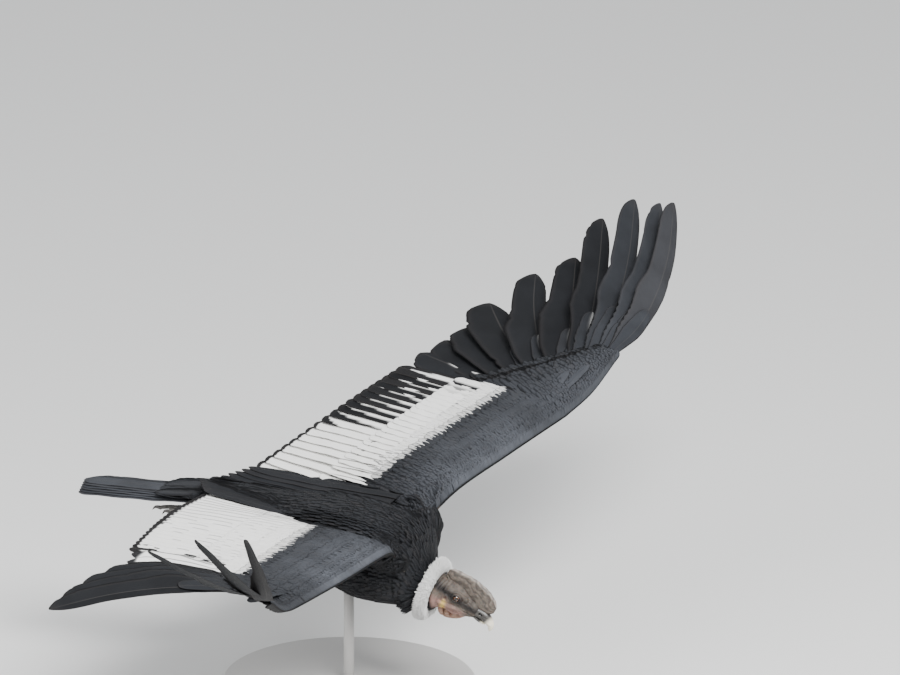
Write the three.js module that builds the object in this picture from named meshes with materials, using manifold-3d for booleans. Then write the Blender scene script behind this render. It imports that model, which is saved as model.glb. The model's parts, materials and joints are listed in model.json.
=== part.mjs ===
// An andean condor soaring with raised, spread fingers: a life-size still model on a plain display stand.
// Millimetres, +Z up. The head points to +X and the bird's left wing to +Y.
// The origin is the middle of the stand's underside, on the surface it rests on.

import * as THREE from 'three';
import { mergeVertices } from 'three/addons/utils/BufferGeometryUtils.js';
import Module from 'manifold-3d';

const wasm = await Module();
wasm.setup();

// Stance on the stand
const SHOULDER_X = 120;
const SHOULDER_Z = 370;
const NOSE_DOWN = THREE.MathUtils.degToRad(3.7);
const CLEARANCE = 0.5;
const SMALLEST_DETAIL = 0.03;

// Stand
const BASE_RADIUS = 270;
const BASE_THICKNESS = 24;
const BASE_CHAMFER = 5;
const ROD_RADIUS = 11;
const ROD_FOOT_GAP = 0.3;

// Trunk sections from the neck to the tail: place along and above, half width, half depth, forward lean
const TRUNK_SECTIONS = [
  { x: 60, z: -104, wide: 64, deep: 64, lean: 14 },
  { x: 42, z: -74, wide: 94, deep: 85, lean: 10 },
  { x: 8, z: -63, wide: 112, deep: 94, lean: 5 },
  { x: -50, z: -56, wide: 120, deep: 99, lean: 0 },
  { x: -120, z: -47, wide: 121, deep: 92, lean: -4 },
  { x: -190, z: -37, wide: 110, deep: 80, lean: -7 },
  { x: -260, z: -26, wide: 90, deep: 63, lean: -8 },
  { x: -330, z: -9, wide: 66, deep: 45, lean: -8 },
  { x: -400, z: 6, wide: 44, deep: 27, lean: -8 },
];
const TRUNK_SQUARENESS = 2.5;
const TRUNK_SIDES = 20;

// Ruff and neck, along an axis that points forward and down
const RUFF_CENTRE = new THREE.Vector3(85, 0, -112);
const RUFF_LEAN = THREE.MathUtils.degToRad(14);
const RUFF_RADIUS = 69;
const RUFF_HALF_THICKNESS = 20;
const RUFF_CORE_RADIUS = 58;
const RUFF_LOCKS = 9;
const RUFF_LOCK_HALF_WIDTH = 26;
const NECK_RADIUS = 44;

// Head, measured along an axis from the nape to the bill tip
const HEAD_ORIGIN = new THREE.Vector3(105, 0, -100);
const HEAD_LEAN = THREE.MathUtils.degToRad(25);
const EYE_RADIUS = 8;
const EYE_PLACE = { along: 43, side: 21.5, up: 8 };
const EAR_PLACE = { along: 22, side: 32, up: -4 };
const MOUTH_UP = -9;
const CHEEK_FOLD_THICKNESS = 5.5;

// Folds of bare skin, as points along, beside and above the head's axis
const CHEEK_FOLDS = [
  [[14, 30, 14], [30, 27, 18], [46, 22, 20], [62, 17, 15]],
  [[16, 32, -20], [34, 27, -17], [54, 22, -12], [70, 16, -10]],
  [[18, 26, -32], [36, 22, -30], [54, 18, -24]],
];
const WATTLE_THICKNESS = 6;
const WATTLE_LAPPETS = [
  [[20, 9, -38], [28, 10, -46], [32, 8, -56]],
  [[20, -9, -38], [28, -10, -46], [32, -8, -56]],
  [[44, 7, -34], [50, 7, -42], [52, 4, -50]],
  [[44, -7, -34], [50, -7, -42], [52, -4, -50]],
];

// Comb sections: place along the head, lower and upper edge, half width
const COMB_SECTIONS = [
  [-5, 20, 44, 3], [4, 18, 51, 6.5], [20, 16, 55, 7.5], [38, 14, 58, 6.5], [56, 10, 60, 8], [74, 6, 59, 7],
  [90, 4, 56, 8.5], [104, 6, 51, 7.5], [116, 10, 44, 7], [124, 18, 33, 3],
];
const NECK_END = 10;

// Wings, both described as if on the left: each row is forward, outward, up from the shoulder centre
const WINGS = {
  left: {
    leadingEdge: [[15, 30, -14], [42, 150, 42], [78, 370, 70], [106, 614, 88]],
    handBend: [127, 700, 119],
    digitTip: [142, 789, 172],
    rearLift: -4,
    featherLine: [[-402, 118, 25], [-365, 280, 57], [-327, 450, 91], [-301, 650, 107]],
    primaryTips: [
      [-296, 744, 108], [-279, 827, 113], [-256, 899, 125], [-256, 1011, 145], [-204, 1131, 185],
      [-129, 1170, 225], [-121, 1287, 280], [-58, 1308, 330], [5, 1303, 335], [37, 1299, 345],
    ],
    fingerSag: [0, 0, 0, 4, 8, 12, 16, 22, 26, 30],
    fingerBow: [0, 0, -4, -14, -22, 0, 12, 24, 32, 38],
  },
  right: {
    leadingEdge: [[15, 30, -14], [62, 180, 28], [58, 400, 37], [60, 617, 56]],
    handBend: [50, 690, 58],
    digitTip: [61, 802, 116],
    rearLift: 14,
    featherLine: [[-418, 112, 32], [-414, 250, 48], [-402, 380, 59], [-378, 560, 66]],
    primaryTips: [
      [-335, 644, 92], [-312, 720, 103], [-288, 814, 118], [-282, 905, 137], [-279, 1014, 157],
      [-266, 1143, 172], [-248, 1254, 185], [-31, 1250, 360], [67, 1234, 400], [167, 1200, 410],
    ],
    fingerSag: [0, -6, -12, -20, -28, -34, -36, 20, 26, 30],
    fingerBow: [0, 0, 0, 0, 0, 4, 14, 24, 28, 24],
  },
};
const ARM_ROOT_THICKNESS = 46;
const WRIST_THICKNESS = 30;
const DIGIT_THICKNESS = 12;
const ARM_CAMBER = 13;
const FLESH_SHARE = 0.52;
const SECONDARY_COUNT = 20;
const GREATER_COVERT_COUNT = 9;
const PRIMARY_COUNT = 10;
const PRIMARY_COVERT_REACH = 0.32;
const COVERT_LIFT = 5.5;
const ALULA_LENGTHS = [140, 105];
const ROOT_CROWDING = 1.45;
const NOTCHED_FROM = 6;
const PRIMARY_TWISTS = [0, 0, 4, 8, 10, 14, 26, 42, 50, 50].map(THREE.MathUtils.degToRad);
const PRIMARY_BREADTHS = [1, 1, 1, 1.15, 1.3, 1.2, 1.5, 1.4, 1, 1];
const VANE_THICKNESS = 1.2;
const VANE_ROLL = THREE.MathUtils.degToRad(6);

// Tail
const TAIL_ROOT = new THREE.Vector3(-400.3, 0, 6);
const TAIL_TIP = new THREE.Vector3(-736, 0, -33);
const TAIL_HALF_SPREAD = 50;
const TAIL_ROOT_HALF_SPREAD = 40;
const RECTRIX_PAIRS = 6;
const RECTRIX_WIDTH = 54;
const TAIL_COVERTS = [
  { side: 1, root: 0.1, reach: 0.46, height: 13, count: 3 },
  { side: -1, root: 0.1, reach: 0.5, height: -24, count: 3 },
];

// Legs, tucked back under the tail
const HIP = new THREE.Vector3(-190, 60, -84);
const ANKLE = new THREE.Vector3(-335, 48, -50);
const FOOT = new THREE.Vector3(-440, 42, -35);
const TOE_LENGTH = 105;

const COLOURS = {
  plumage: { color: 0x17181b, roughness: 0.7 },
  ruff: { color: 0xf2f1ee, roughness: 0.9 },
  bareSkin: { color: 0x6b5f57, roughness: 0.6 },
  comb: { color: 0x6f6b66, roughness: 0.55 },
  bill: { color: 0x2a2826, roughness: 0.4 },
  eye: { color: 0x3a1a0e, roughness: 0.1 },
  leg: { color: 0x77777a, roughness: 0.6 },
  stand: { color: 0xbcbab7, roughness: 0.4 },
};

// Solids and surfaces

function solidFrom(geometry) {
  const bare = geometry.clone();
  bare.deleteAttribute('normal');
  bare.deleteAttribute('uv');
  const merged = mergeVertices(bare, 1e-4);
  return new wasm.Manifold(new wasm.Mesh({
    numProp: 3,
    vertProperties: new Float32Array(merged.attributes.position.array),
    triVerts: new Uint32Array(merged.index.array),
  }));
}

function geometryFrom(solid) {
  const mesh = solid.getMesh();
  const geometry = new THREE.BufferGeometry();
  geometry.setAttribute('position', new THREE.BufferAttribute(new Float32Array(mesh.vertProperties), 3));
  geometry.setIndex(new THREE.BufferAttribute(new Uint32Array(mesh.triVerts), 1));
  geometry.computeVertexNormals();
  return geometry;
}

function fused(pieces) {
  const whole = wasm.Manifold.union(pieces.map((piece) => (piece.isBufferGeometry ? solidFrom(piece) : piece)));
  return largestBody(whole);
}

function largestBody(solid) {
  const bodies = solid.decompose();
  const largest = bodies.reduce((best, body) => (body.volume() > best.volume() ? body : best));
  return largest.simplify(SMALLEST_DETAIL);
}

// The same closed surface, pushed outward along its normals
function grown(solid, distance) {
  const geometry = geometryFrom(solid);
  const place = geometry.attributes.position;
  const normal = geometry.attributes.normal;
  for (let i = 0; i < place.count; i += 1) {
    place.setXYZ(
      i,
      place.getX(i) + normal.getX(i) * distance,
      place.getY(i) + normal.getY(i) * distance,
      place.getZ(i) + normal.getZ(i) * distance,
    );
  }
  return solidFrom(geometry);
}

function clearOf(solid, ...neighbours) {
  return neighbours.reduce((rest, neighbour) => (
    largestBody(rest.subtract(grown(neighbour, CLEARANCE)).subtract(neighbour))
  ), solid);
}

function signedVolume(points, faces) {
  const cross = new THREE.Vector3();
  return faces.reduce((sum, [a, b, c]) => sum + points[a].dot(cross.crossVectors(points[b], points[c])), 0);
}

function closedSurface(points, faces) {
  const outward = signedVolume(points, faces) > 0 ? faces : faces.map(([a, b, c]) => [a, c, b]);
  const geometry = new THREE.BufferGeometry();
  geometry.setAttribute('position', new THREE.Float32BufferAttribute(points.flatMap((p) => p.toArray()), 3));
  geometry.setIndex(outward.flat());
  return geometry;
}

// A skin over rings of equally many points, closed at both ends by a zigzag of triangles
function loft(rings) {
  const count = rings[0].length;
  const faces = [];
  for (let k = 0; k < rings.length - 1; k += 1) {
    for (let i = 0; i < count; i += 1) {
      const a = k * count + i;
      const b = k * count + ((i + 1) % count);
      faces.push([a, b, b + count], [a, b + count, a + count]);
    }
  }
  const close = (first, flip) => {
    let low = 0;
    let high = count - 1;
    while (high - low > 1) {
      const lower = [first + low, first + high, first + low + 1];
      faces.push(flip ? lower.slice().reverse() : lower);
      low += 1;
      if (high - low > 1) {
        const upper = [first + low, first + high, first + high - 1];
        faces.push(flip ? upper.slice().reverse() : upper);
        high -= 1;
      }
    }
  };
  close(0, false);
  close((rings.length - 1) * count, true);
  return closedSurface(rings.flat(), faces);
}

// A ring of a rounded oblong in the plane of two unit directions
function ovalRing(centre, side, up, wide, deep, sides, squareness = 2) {
  const ring = [];
  for (let i = 0; i < sides; i += 1) {
    const angle = ((i + 0.5) / sides) * Math.PI * 2;
    const c = Math.cos(angle);
    const s = Math.sin(angle);
    const across = Math.sign(c) * Math.abs(c) ** (2 / squareness) * wide;
    const above = Math.sign(s) * Math.abs(s) ** (2 / squareness) * deep;
    ring.push(centre.clone().addScaledVector(side, across).addScaledVector(up, above));
  }
  return ring;
}

// A tapered limb along a path, with sections { at, wide, deep } square to the path's direction
function limb(path, sections, sides, squareness = 2) {
  const rings = sections.map(({ at, wide, deep }) => {
    const along = path.getTangentAt(at);
    const side = new THREE.Vector3(0, 1, 0).addScaledVector(along, -along.y).normalize();
    const up = new THREE.Vector3().crossVectors(along, side).normalize();
    return ovalRing(path.getPointAt(at), side, up, wide, deep, sides, squareness);
  });
  return loft(rings);
}

// A feather's vane: a thin blade whose upper and lower faces are split alike.
// Each station holds its centre, the direction to the leading web, the normal, and the width of each web.
function blade(stations, thickness, quillThickness) {
  const points = [];
  for (const { centre, side, normal, lead, trail } of stations) {
    const row = [[lead, thickness], [0, quillThickness], [-trail, thickness]];
    for (const sign of [0.5, -0.5]) {
      for (const [across, thick] of row) {
        points.push(centre.clone().addScaledVector(side, across).addScaledVector(normal, sign * thick));
      }
    }
  }
  const faces = [];
  const quad = (a, b, c, d) => faces.push([a, b, c], [a, c, d]);
  for (let k = 0; k < stations.length - 1; k += 1) {
    const here = k * 6;
    const next = here + 6;
    for (const i of [0, 1]) {
      quad(here + i, next + i, next + i + 1, here + i + 1);
      faces.push([here + i + 3, next + i + 4, next + i + 3], [here + i + 3, here + i + 4, next + i + 4]);
    }
    quad(here, here + 3, next + 3, next);
    quad(here + 2, next + 2, next + 5, here + 5);
  }
  const last = (stations.length - 1) * 6;
  for (const i of [0, 1]) {
    quad(i, i + 1, i + 4, i + 3);
    quad(last + i, last + i + 3, last + i + 4, last + i + 1);
  }
  return closedSurface(points, faces);
}

// A vane over the first part of a path, rolled about it so that one web lies over the neighbour's.
// A covert is lifted off the same path, and its root stays down in the flesh.
function vane(path, shape, { roll = VANE_ROLL, twist = 0, reach = 1, lift = 0 } = {}) {
  const up = new THREE.Vector3(0, 0, 1);
  const stations = shape.map(({ at, lead, trail }) => {
    const place = at * reach;
    const along = path.getTangentAt(place);
    const turn = -roll + twist * THREE.MathUtils.smoothstep(place, 0, 0.45);
    const side = new THREE.Vector3().crossVectors(along, up).normalize().applyAxisAngle(along, turn);
    const normal = new THREE.Vector3().crossVectors(side, along).normalize();
    const centre = path.getPointAt(place).addScaledVector(normal, lift * Math.min(1, at / 0.3));
    return { centre, side, normal, lead, trail };
  });
  return blade(stations, VANE_THICKNESS, VANE_THICKNESS * 1.6);
}

function curve(points) {
  return new THREE.CatmullRomCurve3(points.map((p) => (p.isVector3 ? p : new THREE.Vector3(...p))), false, 'centripetal');
}

// Trunk

function trunkSolid() {
  const side = new THREE.Vector3(0, 1, 0);
  const rings = TRUNK_SECTIONS.map(({ x, z, wide, deep, lean }) => {
    const angle = THREE.MathUtils.degToRad(lean);
    const up = new THREE.Vector3(Math.sin(angle), 0, Math.cos(angle));
    return ovalRing(new THREE.Vector3(x, 0, z), side, up, wide, deep, TRUNK_SIDES, TRUNK_SQUARENESS);
  });
  return solidFrom(loft(rings));
}

// Wing surface

function wingSurface(pose) {
  const leading = curve(pose.leadingEdge);
  const trailing = curve(pose.featherLine);
  return (along, chordShare, lift = 0) => {
    const span = THREE.MathUtils.clamp(along, 0, 1);
    const point = leading.getPointAt(span).lerp(trailing.getPointAt(span), chordShare);
    point.z += ARM_CAMBER * Math.sin(Math.PI * chordShare ** 0.7) + lift;
    return point;
  };
}

const FLESH_STEPS = [0.06, 0.22, 0.46, 0.74, 1];

function fleshThickness(most, share) {
  return Math.max(2.6 * most * Math.sqrt(share) * (1 - share), 0) + 5 * share;
}

function fleshRing(pointAt, most) {
  const nose = pointAt(0, 0);
  const top = FLESH_STEPS.map((share) => pointAt(share, fleshThickness(most, share) / 2));
  const bottom = FLESH_STEPS.map((share) => pointAt(share, -fleshThickness(most, share) / 2)).reverse();
  return [nose, ...top, ...bottom];
}

function armFlesh(surface) {
  const rings = [];
  const steps = 7;
  for (let i = 0; i <= steps; i += 1) {
    const along = i / steps;
    const full = THREE.MathUtils.lerp(ARM_ROOT_THICKNESS, WRIST_THICKNESS, along);
    const most = full * Math.min(1, 0.6 + 2 * along);
    rings.push(fleshRing((share, lift) => surface(along, share * FLESH_SHARE, lift), most));
  }
  return loft(rings);
}

const SECONDARY_SHAPE = [
  { at: 0, lead: 14, trail: 16 },
  { at: 0.5, lead: 24, trail: 35 },
  { at: 0.94, lead: 18, trail: 25 },
  { at: 1, lead: 5, trail: 7 },
];
const COVERT_SHAPE = [
  { at: 0, lead: 14, trail: 18 },
  { at: 0.72, lead: 26, trail: 36 },
  { at: 1, lead: 8, trail: 10 },
];

// A row of vanes that lie on the wing from one share of its chord to another
function vaneRow(surface, count, { from, to, lift, shape, rootSpan, tipSpan }) {
  const vanes = [];
  for (let j = 0; j < count; j += 1) {
    const share = j / (count - 1);
    const root = THREE.MathUtils.lerp(rootSpan[0], rootSpan[1], share);
    const tip = THREE.MathUtils.lerp(tipSpan[0], tipSpan[1], share);
    const points = [0, 0.33, 0.67, 1].map((t) => (
      surface(THREE.MathUtils.lerp(root, tip, t), THREE.MathUtils.lerp(from, to, t), lift)
    ));
    vanes.push(vane(curve(points), shape));
  }
  return vanes;
}

function armSolid(surface) {
  const secondaries = vaneRow(surface, SECONDARY_COUNT, {
    from: 0.3, to: 1, lift: 0, shape: SECONDARY_SHAPE, rootSpan: [0.16, 0.955], tipSpan: [0, 0.985],
  });
  const greaterCoverts = vaneRow(surface, GREATER_COVERT_COUNT, {
    from: 0.38, to: 0.66, lift: COVERT_LIFT, shape: COVERT_SHAPE, rootSpan: [0.17, 0.95], tipSpan: [0.1, 0.97],
  });
  return fused([armFlesh(surface), ...secondaries, ...greaterCoverts]);
}

// Hand and its fingers

const PRIMARY_ROUND = [
  { at: 0, lead: 10, trail: 14 },
  { at: 0.45, lead: 25, trail: 37 },
  { at: 0.92, lead: 18, trail: 26 },
  { at: 1, lead: 5, trail: 6 },
];
const PRIMARY_COVERT_SHAPE = [
  { at: 0, lead: 8, trail: 10 },
  { at: 0.7, lead: 14, trail: 24 },
  { at: 1, lead: 4, trail: 6 },
];
const ALULA_SHAPE = [
  { at: 0, lead: 6, trail: 8 },
  { at: 0.7, lead: 10, trail: 15 },
  { at: 1, lead: 3, trail: 4 },
];
const PRIMARY_NOTCHED = [
  { at: 0, lead: 7, trail: 10 },
  { at: 0.25, lead: 14, trail: 34 },
  { at: 0.46, lead: 14, trail: 36 },
  { at: 0.56, lead: 11, trail: 20 },
  { at: 0.84, lead: 9, trail: 19 },
  { at: 0.95, lead: 6, trail: 11 },
  { at: 1, lead: 2, trail: 3 },
];

function handFlesh(pose, surface) {
  const wristLead = surface(1, 0);
  const wristRear = surface(1, FLESH_SHARE, -ARM_CAMBER * Math.sin(Math.PI * FLESH_SHARE ** 0.7));
  const tip = new THREE.Vector3(...pose.digitTip);
  const tipRear = tip.clone().add(new THREE.Vector3(-52, 20, pose.rearLift));
  const middleRear = wristRear.clone().lerp(tipRear, 0.5).add(new THREE.Vector3(8, 12, pose.rearLift / 2));
  const rear = curve([wristRear, middleRear, tipRear]);
  const lead = curve([wristLead, pose.handBend, tip]);
  const rings = [];
  const steps = 5;
  for (let i = 0; i <= steps; i += 1) {
    const along = i / steps;
    const most = THREE.MathUtils.lerp(WRIST_THICKNESS, DIGIT_THICKNESS, along);
    const camber = ARM_CAMBER * (1 - along);
    rings.push(fleshRing((share, lift) => {
      const point = lead.getPoint(along).lerp(rear.getPoint(along), share);
      point.z += camber * Math.sin(Math.PI * (share * FLESH_SHARE) ** 0.7) + lift;
      return point;
    }, most));
  }
  return loft(rings);
}

// From root to tip, hanging below the straight line by the sag and bowed ahead of it
function primaryPath(root, tip, sag, bow) {
  return curve([0, 0.25, 0.5, 0.75, 1].map((share) => {
    const bulge = 4 * share * (1 - share);
    return root.clone().lerp(tip, share).add(new THREE.Vector3(bow * bulge, 0, -sag * bulge));
  }));
}

function handSolid(pose, surface) {
  const innerRoot = surface(1, 0.2, -2);
  const outerRoot = new THREE.Vector3(...pose.digitTip).add(new THREE.Vector3(-24, -11, -5));
  const feathers = [];
  pose.primaryTips.forEach((place, k) => {
    const share = (k / (PRIMARY_COUNT - 1)) ** ROOT_CROWDING;
    const root = innerRoot.clone().add(new THREE.Vector3(0, 14, 0)).lerp(outerRoot, share);
    const tip = new THREE.Vector3(...place);
    const path = primaryPath(root, tip, pose.fingerSag[k], pose.fingerBow[k]);
    const twist = PRIMARY_TWISTS[k];
    const shape = k < NOTCHED_FROM ? PRIMARY_ROUND : PRIMARY_NOTCHED;
    const broadened = shape.map(({ at, lead, trail }) => ({ at, lead, trail: trail * PRIMARY_BREADTHS[k] }));
    feathers.push(vane(path, broadened, { twist }));
    feathers.push(vane(path, PRIMARY_COVERT_SHAPE, { twist, reach: PRIMARY_COVERT_REACH, lift: COVERT_LIFT }));
  });
  const wrist = surface(1, 0.1, 4);
  const digit = new THREE.Vector3(...pose.digitTip);
  ALULA_LENGTHS.forEach((length, k) => {
    const outward = digit.clone().sub(wrist).normalize();
    const root = wrist.clone().addScaledVector(outward, 20).add(new THREE.Vector3(-12 - 14 * k, 0, 4));
    const tip = root.clone().addScaledVector(outward, length).add(new THREE.Vector3(-22 - 8 * k, 0, 4));
    feathers.push(vane(curve([root, root.clone().lerp(tip, 0.5), tip]), ALULA_SHAPE));
  });
  return fused([handFlesh(pose, surface), ...feathers]);
}

// Tail

function tailSolid() {
  const side = new THREE.Vector3(0, 1, 0);
  const last = TRUNK_SECTIONS[TRUNK_SECTIONS.length - 1];
  const lean = THREE.MathUtils.degToRad(last.lean);
  const up = new THREE.Vector3(Math.sin(lean), 0, Math.cos(lean));
  const place = (share, drop = 0) => TAIL_ROOT.clone().lerp(TAIL_TIP, share).add(new THREE.Vector3(0, 0, -drop));
  const rump = loft([
    ovalRing(TAIL_ROOT, side, up, last.wide, last.deep, TRUNK_SIDES, TRUNK_SQUARENESS),
    ovalRing(place(0.12), side, up, 44, 17, TRUNK_SIDES, TRUNK_SQUARENESS),
    ovalRing(place(0.3), side, up, 42, 6, TRUNK_SIDES, TRUNK_SQUARENESS),
  ]);
  const vanes = [];
  for (let j = 0; j < RECTRIX_PAIRS; j += 1) {
    const out = (j + 0.5) / (RECTRIX_PAIRS - 0.5);
    for (const hand of [1, -1]) {
      const root = place(0.08, 1 + 2 * j).setY(hand * TAIL_ROOT_HALF_SPREAD * out);
      const tip = place(1 - 0.03 * out, 2.2 * j).setY(hand * TAIL_HALF_SPREAD * out);
      const shape = [
        { at: 0, lead: 10, trail: 10 },
        { at: 0.4, lead: 0.4 * RECTRIX_WIDTH, trail: 0.6 * RECTRIX_WIDTH },
        { at: 0.93, lead: 0.34 * RECTRIX_WIDTH, trail: 0.48 * RECTRIX_WIDTH },
        { at: 1, lead: 0.1 * RECTRIX_WIDTH, trail: 0.1 * RECTRIX_WIDTH },
      ];
      const faced = hand > 0 ? shape : shape.map(({ at, lead, trail }) => ({ at, lead: trail, trail: lead }));
      vanes.push(vane(curve([root, root.clone().lerp(tip, 0.5), tip]), faced, { roll: hand * 0.02 }));
    }
  }
  for (const { side, root, reach, height, count } of TAIL_COVERTS) {
    for (let j = 0; j < count; j += 1) {
      const out = (2 * j) / (count - 1) - 1;
      const start = place(root, -height).setY(TAIL_ROOT_HALF_SPREAD * 0.8 * out);
      const end = place(reach - 0.05 * Math.abs(out), -height * 0.4).setY(TAIL_HALF_SPREAD * 0.9 * out);
      vanes.push(vane(curve([start, start.clone().lerp(end, 0.5), end]), COVERT_SHAPE, { roll: side * 0.05 * out }));
    }
  }
  return fused([rump, ...vanes]);
}

// Legs and feet

function legSolid() {
  const path = curve([HIP, HIP.clone().lerp(ANKLE, 0.5).add(new THREE.Vector3(0, 4, -6)), ANKLE, FOOT]);
  return solidFrom(limb(path, [
    { at: 0, wide: 36, deep: 44 },
    { at: 0.2, wide: 34, deep: 40 },
    { at: 0.4, wide: 22, deep: 26 },
    { at: 0.54, wide: 12, deep: 14 },
    { at: 0.62, wide: 8.5, deep: 9.5 },
    { at: 0.9, wide: 8, deep: 8.5 },
    { at: 1, wide: 9, deep: 9 },
  ], 12));
}

function footSolid() {
  const palm = FOOT.clone().add(new THREE.Vector3(-12, 0, 1));
  const pieces = [solidFrom(new THREE.SphereGeometry(13, 8, 6).scale(1.1, 1, 0.75).translate(...palm.toArray()))];
  const toes = [
    { spread: 0, length: TOE_LENGTH, drop: -9, thick: 6 },
    { spread: 0.24, length: TOE_LENGTH * 0.72, drop: -7, thick: 5.5 },
    { spread: -0.24, length: TOE_LENGTH * 0.7, drop: -7, thick: 5.5 },
    { spread: 2.9, length: TOE_LENGTH * 0.3, drop: -16, thick: 4.5 },
  ];
  for (const { spread, length, drop, thick } of toes) {
    const reach = new THREE.Vector3(-Math.cos(spread), Math.sin(spread), 0);
    const knuckle = palm.clone().addScaledVector(reach, length * 0.55).add(new THREE.Vector3(0, 0, drop * 0.2));
    const end = palm.clone().addScaledVector(reach, length * 0.85).add(new THREE.Vector3(0, 0, drop));
    const claw = palm.clone().addScaledVector(reach, length).add(new THREE.Vector3(0, 0, drop - 8));
    pieces.push(solidFrom(limb(curve([palm, knuckle, end, claw]), [
      { at: 0, wide: thick, deep: thick * 0.85 },
      { at: 0.5, wide: thick * 0.9, deep: thick * 0.8 },
      { at: 0.8, wide: thick * 0.75, deep: thick * 0.7 },
      { at: 1, wide: 0.8, deep: 0.8 },
    ], 6)));
  }
  return fused(pieces);
}

// Neck and ruff

const ruffAxis = new THREE.Vector3(Math.cos(RUFF_LEAN), 0, -Math.sin(RUFF_LEAN));
const ruffUp = new THREE.Vector3(Math.sin(RUFF_LEAN), 0, Math.cos(RUFF_LEAN));

function ringOn(axisShare, radius, sides) {
  const centre = RUFF_CENTRE.clone().addScaledVector(ruffAxis, axisShare);
  return ovalRing(centre, new THREE.Vector3(0, 1, 0), ruffUp, radius, radius, sides);
}

function neckSolid() {
  return solidFrom(loft([
    ringOn(-RUFF_HALF_THICKNESS, NECK_RADIUS, 24),
    ringOn(RUFF_HALF_THICKNESS, NECK_RADIUS, 24),
    headRing([NECK_END, -10, 34, 38], 24),
  ]));
}

// A lock stands out from the neck and bends back over the shoulders: place along the axis, radius, width share
const RUFF_TIERS = [
  { turn: 0, bend: [[5, 47, 0.8], [11, 60, 1], [4, RUFF_RADIUS, 0.8], [-9, RUFF_RADIUS + 2, 0.2]] },
  { turn: 0.5, bend: [[-8, 47, 0.8], [-3, 60, 1], [-9, RUFF_RADIUS, 0.8], [-20, RUFF_RADIUS + 2, 0.2]] },
];

function ruffSolid() {
  const core = loft([[-14, 42], [-14, RUFF_CORE_RADIUS], [12, RUFF_CORE_RADIUS], [12, 42]].map(([along, radius]) => (
    ringOn(along, radius, 12)
  )));
  const locks = RUFF_TIERS.flatMap(({ turn, bend }) => Array.from({ length: RUFF_LOCKS }, (_, i) => {
    const angle = ((i + turn) / RUFF_LOCKS) * Math.PI * 2;
    const outward = ruffUp.clone().multiplyScalar(Math.cos(angle)).add(new THREE.Vector3(0, Math.sin(angle), 0));
    const side = new THREE.Vector3().crossVectors(ruffAxis, outward).normalize();
    const path = bend.map(([along, radius]) => (
      RUFF_CENTRE.clone().addScaledVector(ruffAxis, along).addScaledVector(outward, radius)
    ));
    return loft(path.map((centre, k) => {
      const along = path[Math.min(k + 1, 3)].clone().sub(path[Math.max(k - 1, 0)]).normalize();
      const normal = new THREE.Vector3().crossVectors(side, along);
      const share = bend[k][2];
      return [[RUFF_LOCK_HALF_WIDTH * share, 0], [0, 4 * share], [-RUFF_LOCK_HALF_WIDTH * share, 0], [0, -4 * share]]
        .map(([across, above]) => centre.clone().addScaledVector(side, across).addScaledVector(normal, above));
    }));
  }));
  return fused([core, ...locks]);
}

// Head

const headAlong = new THREE.Vector3(Math.cos(HEAD_LEAN), 0, -Math.sin(HEAD_LEAN));
const headUp = new THREE.Vector3(Math.sin(HEAD_LEAN), 0, Math.cos(HEAD_LEAN));

function headPoint(along, side, up) {
  return HEAD_ORIGIN.clone()
    .addScaledVector(headAlong, along)
    .addScaledVector(headUp, up)
    .add(new THREE.Vector3(0, side, 0));
}

// Head sections list their place along the axis, height above it, half width and half depth
function headRing([along, up, wide, deep], sides) {
  return ovalRing(headPoint(along, 0, up), new THREE.Vector3(0, 1, 0), headUp, wide, deep, sides);
}

function headLoft(sections, sides) {
  return loft(sections.map((section) => headRing(section, sides)));
}

const SKULL_SECTIONS = [
  [NECK_END + 0.3, -10, 34, 38], [22, -4, 31, 35], [40, -3, 28, 33], [60, -4, 24, 28], [78, -3, 18, 20],
  [92, -1, 15, 14],
];

// A soft ridge of skin through points given as [along, side, up]
function fold(points, thick, stations = [0, 0.5, 1]) {
  const path = curve(points.map((place) => headPoint(...place)));
  return limb(path, stations.map((at) => {
    const swell = thick * Math.max(0.25, Math.sin(Math.PI * (0.12 + 0.76 * at)));
    return { at, wide: swell, deep: swell };
  }), 5);
}

function lids(hand) {
  const { along, side, up } = EYE_PLACE;
  const ring = EYE_RADIUS * 0.92;
  const depth = side + EYE_RADIUS * 0.78;
  return [1, -0.8].map((way) => fold([-1, -0.5, 0, 0.5, 1].map((share) => [
    along + ring * share, hand * (depth - 1.6 * Math.abs(share)), up + way * ring * 0.7 * Math.sqrt(1.05 - share * share),
  ]), 2.4, [0, 0.33, 0.67, 1]));
}

function skullSolid() {
  const pieces = [headLoft(SKULL_SECTIONS, 16)];
  for (const hand of [1, -1]) {
    pieces.push(...lids(hand));
    for (const points of CHEEK_FOLDS) {
      pieces.push(fold(points.map(([along, side, up]) => [along, hand * side, up]), CHEEK_FOLD_THICKNESS));
    }
  }
  const cuts = [1, -1].flatMap((hand) => {
    const ear = new THREE.SphereGeometry(5, 8, 6);
    ear.translate(...headPoint(EAR_PLACE.along, hand * EAR_PLACE.side, EAR_PLACE.up).toArray());
    const mouth = new THREE.BoxGeometry(30, 7, 1.6);
    mouth.rotateZ(-hand * 0.3).rotateY(HEAD_LEAN).translate(...headPoint(80, hand * 19, MOUTH_UP).toArray());
    return [solidFrom(ear), solidFrom(mouth)];
  });
  return largestBody(cuts.reduce((rest, cut) => rest.subtract(cut), fused(pieces)));
}

// The comb: a fleshy plate with a rounded, wavy top that stands from the crown to past the nostrils
function combSolid() {
  const rings = COMB_SECTIONS.map(([along, low, high, wide]) => (
    headRing([along, (low + high) / 2, wide, (high - low) / 2], 10)
  ));
  return solidFrom(loft(rings));
}

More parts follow.
